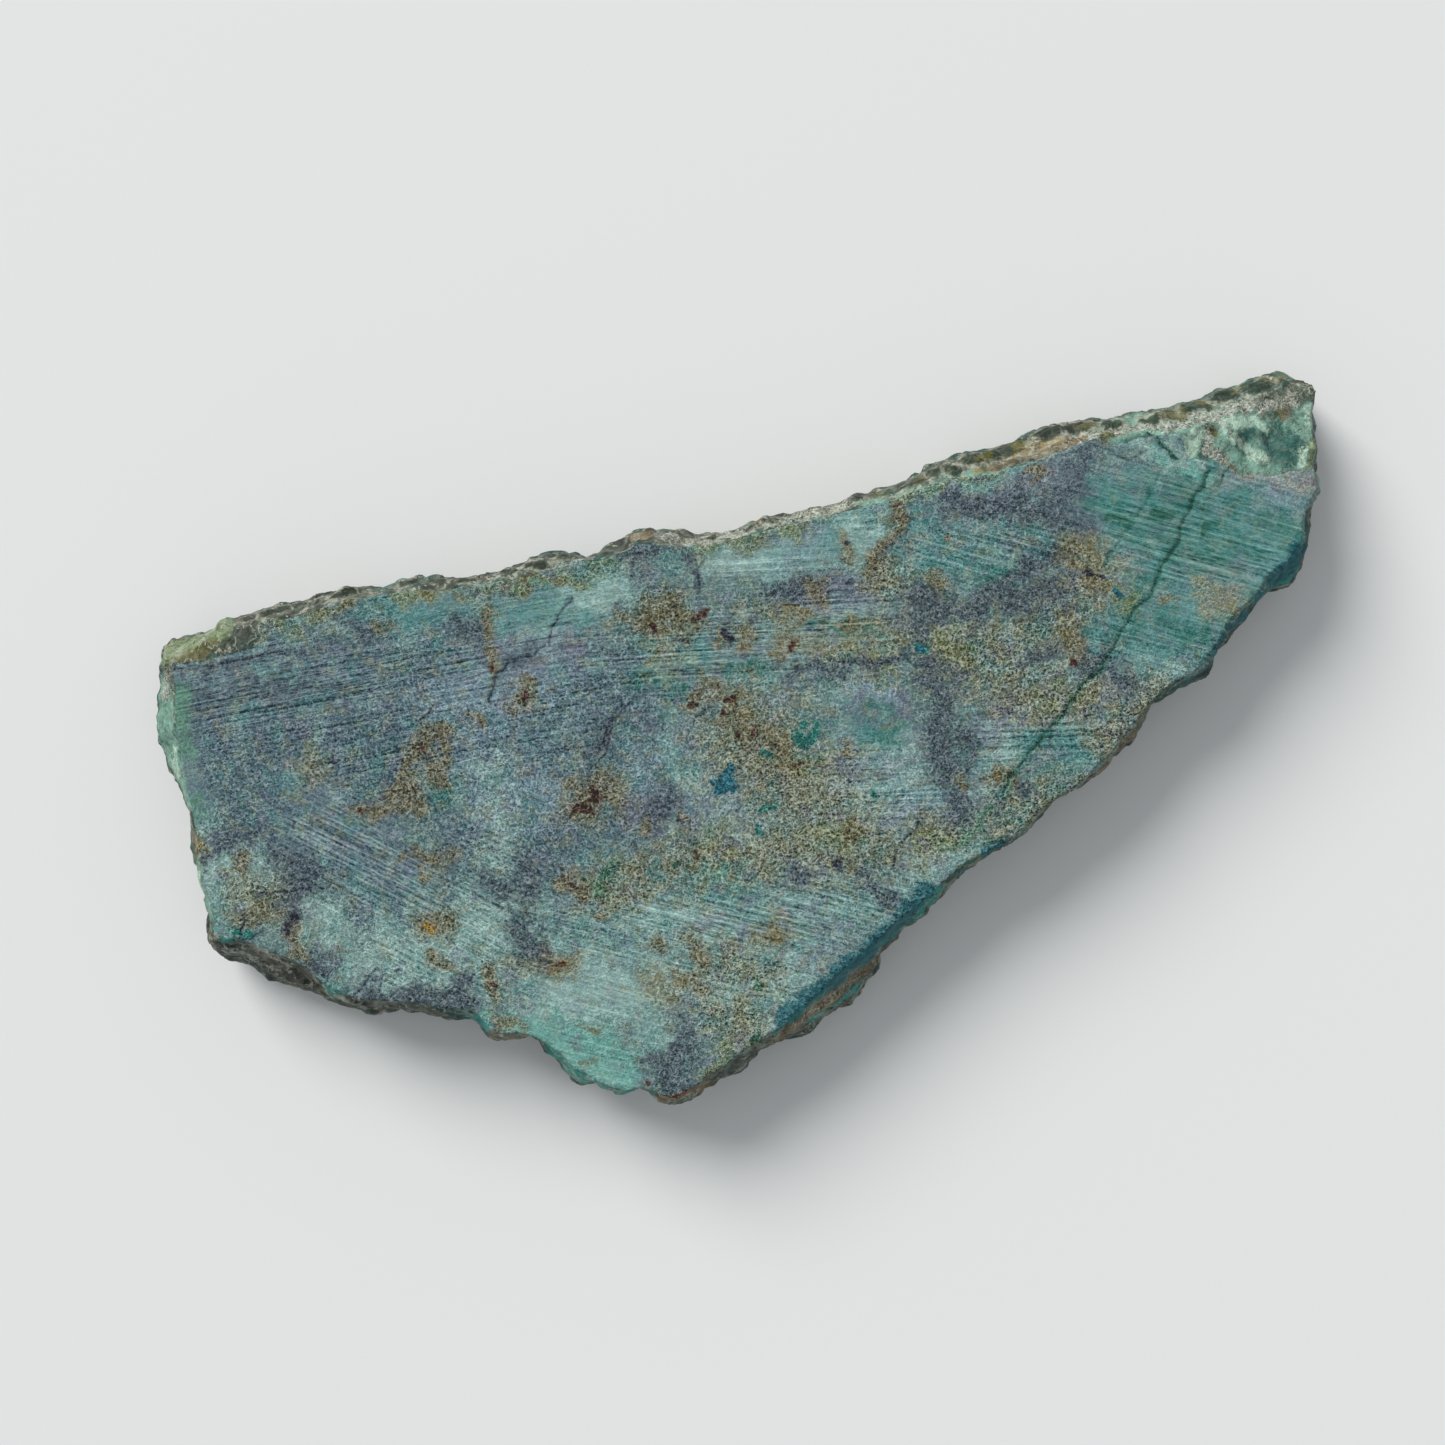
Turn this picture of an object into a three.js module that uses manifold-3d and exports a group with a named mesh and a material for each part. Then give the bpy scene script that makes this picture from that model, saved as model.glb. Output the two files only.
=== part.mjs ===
// Rough turquoise: one slice of a natural nodule, sawn flat on its face and on its back.
// The nodule's own skin is left all round the edge: lumpy, ledged and chipped.
//
// Millimetres, +Z up. The slice lies on its sawn back with its sawn face up. The origin is the
// centre of the back's bounding box, and +X runs along the long, nearly straight upper edge.

import * as THREE from "three";
import { ImprovedNoise } from "three/addons/math/ImprovedNoise.js";
import { mergeVertices } from "three/addons/utils/BufferGeometryUtils.js";
import Module from "manifold-3d";

// ---------------------------------------------------------------- driving dimensions

const THICKNESS = 8; // between the two sawn planes

// The edge swells from the sawn face down to its widest level, then turns in again to the back.
// size is how far apart the swells of a wandering value lie, and seed moves its pattern along.
const SWELL = 0.018; // how much wider than the outline, as a share of the distance from the centre
const WIDEST = { level: 0.44, wander: 0.17, size: 11, seed: 1.7 }; // share of the thickness
const FOOT = { inset: 1.3, wander: 0.65, size: 9, seed: 4.1 };
const FLANK_CURVE = 1.5; // 1 would be a straight flank, more makes it rounder
const LEAST_SKIN = 0.15;

// Relief of the natural skin.
const LUMP = { size: 4.2, height: 0.75, crease: 1.3 };
const LEDGE = { size: 5.5, height: 0.5, seed: 7.3, riser: [0.65, 0.95] };
const GRIT = { size: 1.9, height: 0.3, seed: 3.1 };
const WAVE = { size: 2.3, height: 0.25, seed: 5.9 }; // up and down, along the flank
const CALM = { relief: 0.25, depth: 0.3 }; // the share left where the saw cut the skin

const STATIONS = 264; // round the edge
const LEVELS = [0, 0.06, 0.16, 0.28, 0.4, 0.52, 0.64, 0.76, 0.87, 0.95, 1]; // up the edge

// The outline of the slice seen from above, anticlockwise. Each point is x, y and the width of
// natural skin that shows there outside the sawn face.
const OUTLINE = [
  // left end, from its upper corner down
  [-43.7, 17.3, 0.9],
  [-44.4, 14.8, 0.9],
  [-44.4, 12.0, 0.7],
  [-44.0, 9.0, 0.3],
  [-44.5, 2.4, 0.4],
  [-44.4, 0.8, 0.4],
  [-45.0, -1.1, 0.9],
  [-44.7, -2.4, 1.0],
  // lower left, a dark bevel of skin
  [-43.5, -3.4, 1.5],
  [-42.1, -5.2, 2.1],
  [-40.0, -6.2, 1.6],
  [-38.2, -7.4, 1.1],
  [-36.6, -8.8, 0.9],
  [-33.3, -9.9, 0.4],
  [-30.9, -10.4, 0.4],
  [-28.9, -11.6, 0.6],
  [-26.9, -12.0, 0.4],
  // the notched edge that runs down to the lower point
  [-26.2, -13.3, 0.4],
  [-25.0, -14.1, 0.4],
  [-23.7, -14.1, 0.3],
  [-22.2, -15.5, 0.2],
  [-21.3, -16.9, 0.2],
  [-20.6, -18.3, 0.2],
  [-18.9, -19.1, 0.2],
  [-17.2, -20.1, 0.2],
  [-15.9, -20.0, 0.2],
  [-15.1, -20.9, 0.4],
  [-13.6, -21.5, 0.4],
  [-11.6, -20.7, 0.4],
  // lower right, up from the point along the bevelled edge
  [-9.6, -20.3, 0.6],
  [-6.8, -19.5, 0.9],
  [-3.3, -19.1, 2.0],
  [-0.2, -17.6, 2.0],
  [2.5, -16.1, 2.2],
  [5.1, -14.0, 1.5],
  [7.0, -12.4, 1.0],
  [11.2, -9.9, 0.6],
  [14.2, -9.1, 0.6],
  [18.0, -7.1, 0.4],
  [20.9, -5.9, 0.4],
  [24.1, -3.9, 0.4],
  [26.6, -2.3, 0.6],
  [27.8, -1.0, 0.2],
  [31.3, 0.3, 0.3],
  // scalloped edge below the right tip
  [32.7, 1.2, 0.4],
  [35.0, 2.7, 0.7],
  [36.7, 4.0, 0.6],
  [38.0, 4.7, 0.7],
  [39.3, 5.1, 0.9],
  [40.4, 6.1, 0.6],
  [41.3, 7.7, 0.3],
  [42.0, 9.7, 0.3],
  [43.0, 11.1, 0.3],
  [43.8, 13.9, 0.4],
  [44.7, 15.9, 0.5],
  [44.7, 17.5, 0.5],
  [45.0, 19.0, 0.6],
  // upper edge, from the right tip back to the left end
  [43.4, 20.7, 1.1],
  [41.5, 21.0, 1.9],
  [36.0, 20.4, 1.9],
  [30.3, 20.4, 1.5],
  [27.8, 20.9, 1.3],
  [24.7, 21.1, 1.8],
  [21.2, 20.2, 1.4],
  [18.1, 20.5, 1.8],
  [15.0, 20.1, 1.3],
  [11.8, 19.1, 0.5],
  [5.6, 19.3, 0.9],
  [-2.0, 18.8, 0.4],
  [-6.7, 20.4, 0.8],
  [-9.0, 19.8, 0.6],
  [-11.4, 20.5, 1.1],
  [-14.0, 20.3, 1.0],
  [-19.3, 20.2, 0.7],
  [-28.6, 21.6, 0.6],
  [-31.5, 21.1, 0.5],
  [-34.3, 21.3, 0.6],
  [-39.9, 21.3, 1.2],
  [-42.5, 21.0, 1.6],
  [-43.5, 20.1, 1.1],
];

// Natural faces that the saw missed. Each falls away to the left of a line that starts at x, y and
// runs for length at the given heading; the fall dies out at the ends of the line.
const NATURAL_FACES = [
  { x: 26.6, y: 20.6, heading: -28, length: 27, reach: 13, fall: 14, rough: 0.5 }, // right tip
  { x: 10.9, y: -9.3, heading: 208, length: 27, reach: 5, fall: 38, rough: 0.12 }, // lower right
  { x: -47.5, y: 18.8, heading: -5, length: 14, reach: 5, fall: 12, rough: 0.2 }, // left corner
];
const FACE_LUMP = { size: 3.4, height: 1.2 };
const FACE_GRIT = { size: 1.7, height: 0.5, seed: 9.2 };
const FACE_END = 3.5; // length over which the fall dies out
const FACE_LEAD = 2; // how far the cutter reaches in before the line
const CUTTER = { height: 6, lift: 0.4 }; // its end lifts clear of the sawn face

// Shell-shaped chips out of the edges: x, y, the height of the edge that broke, radius and bite.
const CHIPS = [
  [39.9, 4.8, THICKNESS, 2.6, 1.0],
  [37.6, 3.2, THICKNESS, 2.2, 0.8],
  [35.2, 1.5, THICKNESS, 2.8, 1.1],
  [-20.9, -18.9, THICKNESS, 2.4, 0.9],
  [-24.6, -15.2, THICKNESS, 2.2, 1.0],
  [-27.2, -13.9, THICKNESS, 1.8, 0.8],
  [-38.6, -10.0, 0, 5.0, 1.7],
  [-30.5, -12.8, 0, 4.2, 1.7],
  [-12.6, -23.2, 0, 4.6, 1.9],
  [9.8, -12.2, 0, 4.4, 1.6],
  [29.5, -2.6, 0, 5.2, 2.0],
  [45.8, 15.5, 0, 4.6, 2.0],
  [21.5, 22.9, 0, 5.0, 1.8],
  [-3.5, 22.2, 0, 4.4, 1.7],
  [-24.0, 23.2, 0, 4.8, 1.6],
  [-46.4, 8.6, 0, 4.6, 1.8],
];
const CHIP_RIPPLE = { size: 1.6, height: 0.12, seed: 2.2 };
const CHIP_DETAIL = 4; // subdivisions of each ball
const CHIP_OUTWARD = 0.6; // share of its offset that goes outward, the rest being up or down

// ---------------------------------------------------------------- surface patterns

const { smoothstep, degToRad } = THREE.MathUtils;
const perlin = new ImprovedNoise();
const PERLIN_RANGE = 1.5; // brings the noise to about -1 to 1
const OFF_LATTICE = 0.37;

function smooth(p, { size, seed }) {
  const [x, y, z] = [p.x / size + seed, p.y / size + OFF_LATTICE, p.z / size - seed];
  return PERLIN_RANGE * perlin.noise(x, y, z);
}

// Repeatable number from 0 to 1 for a corner of a lattice.
function chance(i, j, k, salt) {
  const n = Math.sin(i * 127.1 + j * 311.7 + k * 74.7 + salt * 53.3) * 43758.5453;
  return n - Math.floor(n);
}

// Rounded lumps packed side by side: above 0 at the top of a lump, below 0 in the creases.
function lumps(p, size) {
  const [x, y, z] = [p.x / size, p.y / size, p.z / size];
  const [i0, j0, k0] = [Math.floor(x), Math.floor(y), Math.floor(z)];
  let nearest = Infinity;
  for (let i = i0 - 1; i <= i0 + 1; i++)
    for (let j = j0 - 1; j <= j0 + 1; j++)
      for (let k = k0 - 1; k <= k0 + 1; k++) {
        const dx = i + chance(i, j, k, 1) - x;
        const dy = j + chance(i, j, k, 2) - y;
        const dz = k + chance(i, j, k, 3) - z;
        nearest = Math.min(nearest, dx * dx + dy * dy + dz * dz);
      }
  return Math.max(0, 1 - nearest * LUMP.crease) - 0.5;
}

// Broken ledges: flat treads with short steep risers between them.
function ledges(p) {
  const height = 2 * smooth(p, LEDGE);
  const tread = Math.floor(height);
  return (tread + smoothstep(height - tread, ...LEDGE.riser)) / 2;
}

// How far the natural skin stands out from its mean surface at p.
function skinRelief(p) {
  const lump = LUMP.height * lumps(p, LUMP.size);
  return lump + LEDGE.height * ledges(p) + GRIT.height * smooth(p, GRIT);
}

// ---------------------------------------------------------------- the slice

// Evenly spaced stations round the outline, each with its place, outward direction and skin.
function edgeStations() {
  const corners = OUTLINE.map(([x, y, skin]) => new THREE.Vector3(x, y, skin));
  const curve = new THREE.CatmullRomCurve3(corners, true, "centripetal");
  const along = curve.getSpacedPoints(STATIONS).slice(0, STATIONS);
  const near = (i) => along[(i + STATIONS) % STATIONS];
  return along.map((p, i) => {
    const run = new THREE.Vector3();
    for (const step of [1, 2, 3]) run.add(near(i + step)).sub(near(i - step));
    return {
      place: new THREE.Vector3(p.x, p.y, 0),
      out: new THREE.Vector3(run.y, -run.x, 0).normalize(),
      skin: Math.max(p.z, LEAST_SKIN),
    };
  });
}

// How far the mean skin is set in from the swollen outline at a share of the thickness.
function inset({ place, skin }, level) {
  const widest = WIDEST.level + WIDEST.wander * smooth(place, WIDEST);
  if (level >= widest) {
    const rise = (level - widest) / (1 - widest);
    return (skin + SWELL * place.length()) * Math.pow(rise, FLANK_CURVE);
  }
  const foot = FOOT.inset + FOOT.wander * smooth(place, FOOT);
  return foot * Math.pow(1 - level / widest, 2);
}

function edgePoint(station, level) {
  const point = station.place.clone().multiplyScalar(1 + SWELL);
  point.addScaledVector(station.out, -inset(station, level));
  point.z = level * THICKNESS;
  const free = smoothstep(1 - level, 0, CALM.depth);
  const relief = skinRelief(point) * THREE.MathUtils.lerp(CALM.relief, 1, free);
  const sawn = level === 0 || level === 1;
  if (!sawn) point.z += WAVE.height * smooth(point, WAVE) * free;
  return point.addScaledVector(station.out, relief);
}

// The closed surface of the slice: rings of skin between two flat sawn faces.
function sliceGeometry() {
  const stations = edgeStations();
  const rings = LEVELS.map((level) => stations.map((station) => edgePoint(station, level)));
  const faces = [];
  for (let ring = 0; ring + 1 < rings.length; ring++)
    for (let i = 0; i < STATIONS; i++) {
      const [a, b] = [ring * STATIONS + i, ring * STATIONS + ((i + 1) % STATIONS)];
      const [c, d] = [a + STATIONS, b + STATIONS];
      if ((ring + i) % 2) faces.push(a, b, d, a, d, c);
      else faces.push(a, b, c, b, d, c);
    }
  const cap = (ring) => {
    const flat = ring.map((p) => new THREE.Vector2(p.x, p.y));
    return THREE.ShapeUtils.triangulateShape(flat, []);
  };
  const top = (rings.length - 1) * STATIONS;
  for (const [a, b, c] of cap(rings[0])) faces.push(a, c, b);
  for (const [a, b, c] of cap(rings.at(-1))) faces.push(top + a, top + b, top + c);
  const places = rings.flat().flatMap((p) => [p.x, p.y, p.z]);
  const geometry = new THREE.BufferGeometry();
  geometry.setAttribute("position", new THREE.Float32BufferAttribute(places, 3));
  return geometry.setIndex(faces);
}

// A block whose underside is a rough natural face, falling away from the sawn face.
function naturalFaceGeometry({ x, y, heading, length, reach, fall, rough }) {
  const width = FACE_LEAD + reach;
  const block = new THREE.BoxGeometry(length, width, CUTTER.height, length, width, 1);
  block.translate(length / 2, width / 2 - FACE_LEAD, CUTTER.height / 2);
  const slope = Math.tan(degToRad(fall));
  const places = block.attributes.position;
  for (let i = 0; i < places.count; i++) {
    if (places.getZ(i) > 0) continue;
    const [along, across] = [places.getX(i), places.getY(i)];
    const p = new THREE.Vector3(along + x, across + y, 0);
    const lump = FACE_LUMP.height * lumps(p, FACE_LUMP.size);
    const relief = lump + FACE_GRIT.height * smooth(p, FACE_GRIT);
    const fade = smoothstep(Math.min(along, length - along), 0, FACE_END);
    const drop = slope * across * (across > 0 ? fade : 1);
    places.setZ(i, rough * relief + CUTTER.lift * (1 - fade) - drop);
  }
  block.rotateZ(degToRad(heading));
  return block.translate(x, y, THICKNESS);
}

// A rippled ball that bites a shell-shaped chip out of the edge at height z.
function chipGeometry([x, y, z, radius, bite]) {
  const ball = new THREE.IcosahedronGeometry(radius, CHIP_DETAIL);
  const edge = new THREE.Vector3(x, y, z);
  const places = ball.attributes.position;
  const p = new THREE.Vector3();
  for (let i = 0; i < places.count; i++) {
    p.fromBufferAttribute(places, i);
    const ripple = CHIP_RIPPLE.height * smooth(p.clone().add(edge), CHIP_RIPPLE);
    p.setLength(radius + ripple);
    places.setXYZ(i, p.x, p.y, p.z);
  }
  const offset = (radius - bite) * Math.SQRT1_2;
  const outward = new THREE.Vector3(x, y, 0).setLength(offset * CHIP_OUTWARD);
  const lift = z > 0 ? offset : -offset;
  return ball.translate(x + outward.x, y + outward.y, z + lift);
}

// ---------------------------------------------------------------- joining and cutting

const wasm = await Module();
wasm.setup();
const WELD = 1e-4; // vertices closer than this are one

function solidOf(geometry) {
  const bare = geometry.clone();
  bare.deleteAttribute("normal");
  bare.deleteAttribute("uv");
  const merged = mergeVertices(bare, WELD);
  const vertProperties = new Float32Array(merged.attributes.position.array);
  const triVerts = new Uint32Array(merged.index.array);
  return new wasm.Manifold(new wasm.Mesh({ numProp: 3, vertProperties, triVerts }));
}

function geometryOf(solid) {
  const mesh = solid.getMesh();
  const geometry = new THREE.BufferGeometry();
  geometry.setAttribute("position", new THREE.BufferAttribute(mesh.vertProperties, 3));
  return geometry.setIndex(new THREE.BufferAttribute(mesh.triVerts, 1));
}

function turquoiseGeometry() {
  const cutters = [...NATURAL_FACES.map(naturalFaceGeometry), ...CHIPS.map(chipGeometry)];
  const slice = solidOf(sliceGeometry());
  const stone = cutters.reduce((rest, cutter) => rest.subtract(solidOf(cutter)), slice);
  const geometry = geometryOf(stone);
  geometry.computeBoundingBox();
  const { min, max } = geometry.boundingBox;
  geometry.translate(-(min.x + max.x) / 2, -(min.y + max.y) / 2, -min.z);
  geometry.computeVertexNormals();
  return geometry;
}

const turquoise = new THREE.Mesh(
  turquoiseGeometry(),
  new THREE.MeshStandardMaterial({ color: 0x66848a, roughness: 0.8, metalness: 0 }),
);
turquoise.name = "turquoise";

const part = new THREE.Group();
part.add(turquoise);

export default part;
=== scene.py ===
"""Dresses the rough turquoise slice: its fine relief, its sawn stone and crusted skin, and a plain stage.

The slice lies on its sawn back. Lengths are millimetres, apart from the settings and the names that end in
_M, which are metres. Places on the stone are x, y in the part's own frame: +X along the long edge and +Y
towards it.
"""

import math

import bmesh
import bpy
import numpy as np
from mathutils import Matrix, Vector, noise


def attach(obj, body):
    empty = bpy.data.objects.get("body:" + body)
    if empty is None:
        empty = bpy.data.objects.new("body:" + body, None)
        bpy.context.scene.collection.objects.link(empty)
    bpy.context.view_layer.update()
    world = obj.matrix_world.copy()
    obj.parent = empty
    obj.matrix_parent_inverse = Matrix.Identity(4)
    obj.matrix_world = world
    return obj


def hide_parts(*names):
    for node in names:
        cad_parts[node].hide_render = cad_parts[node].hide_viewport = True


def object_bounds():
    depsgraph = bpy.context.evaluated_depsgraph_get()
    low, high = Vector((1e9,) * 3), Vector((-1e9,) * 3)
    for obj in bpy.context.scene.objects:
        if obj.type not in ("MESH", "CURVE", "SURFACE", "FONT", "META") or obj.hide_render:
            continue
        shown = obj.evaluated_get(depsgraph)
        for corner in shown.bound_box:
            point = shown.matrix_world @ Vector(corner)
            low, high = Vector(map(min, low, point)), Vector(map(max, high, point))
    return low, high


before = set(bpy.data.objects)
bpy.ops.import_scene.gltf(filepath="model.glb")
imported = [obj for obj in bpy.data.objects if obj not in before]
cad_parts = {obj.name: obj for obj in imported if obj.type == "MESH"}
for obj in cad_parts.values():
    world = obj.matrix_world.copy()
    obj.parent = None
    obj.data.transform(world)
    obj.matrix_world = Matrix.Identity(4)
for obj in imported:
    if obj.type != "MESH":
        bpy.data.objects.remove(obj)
CAD_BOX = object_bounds()

bl_info = {
    "name": "Rough turquoise slice",
    "version": (1, 0, 0),
    "blender": (4, 5, 0),
    "location": "3D View > Sidebar > Turquoise",
    "description": "A sawn slice of rough turquoise with its natural skin, on a plain stage",
    "category": "Object",
}

MM = 0.001
NODE = "turquoise"
STONE = "turquoise_slice"


def rgb(red, green, blue):
    """A colour given as 0 to 255 on a screen, as the linear numbers that Blender uses."""
    return tuple(((c / 255 + 0.055) / 1.055) ** 2.4 if c > 10 else c / 3294.6 for c in (red, green, blue))


# ---------------------------------------------------------------- where the colours lie
#
# Each layer of colour is a list of strokes laid on the stone. A stroke is its half width and the
# points of its path, and a stroke with one point is a round spot.

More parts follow.
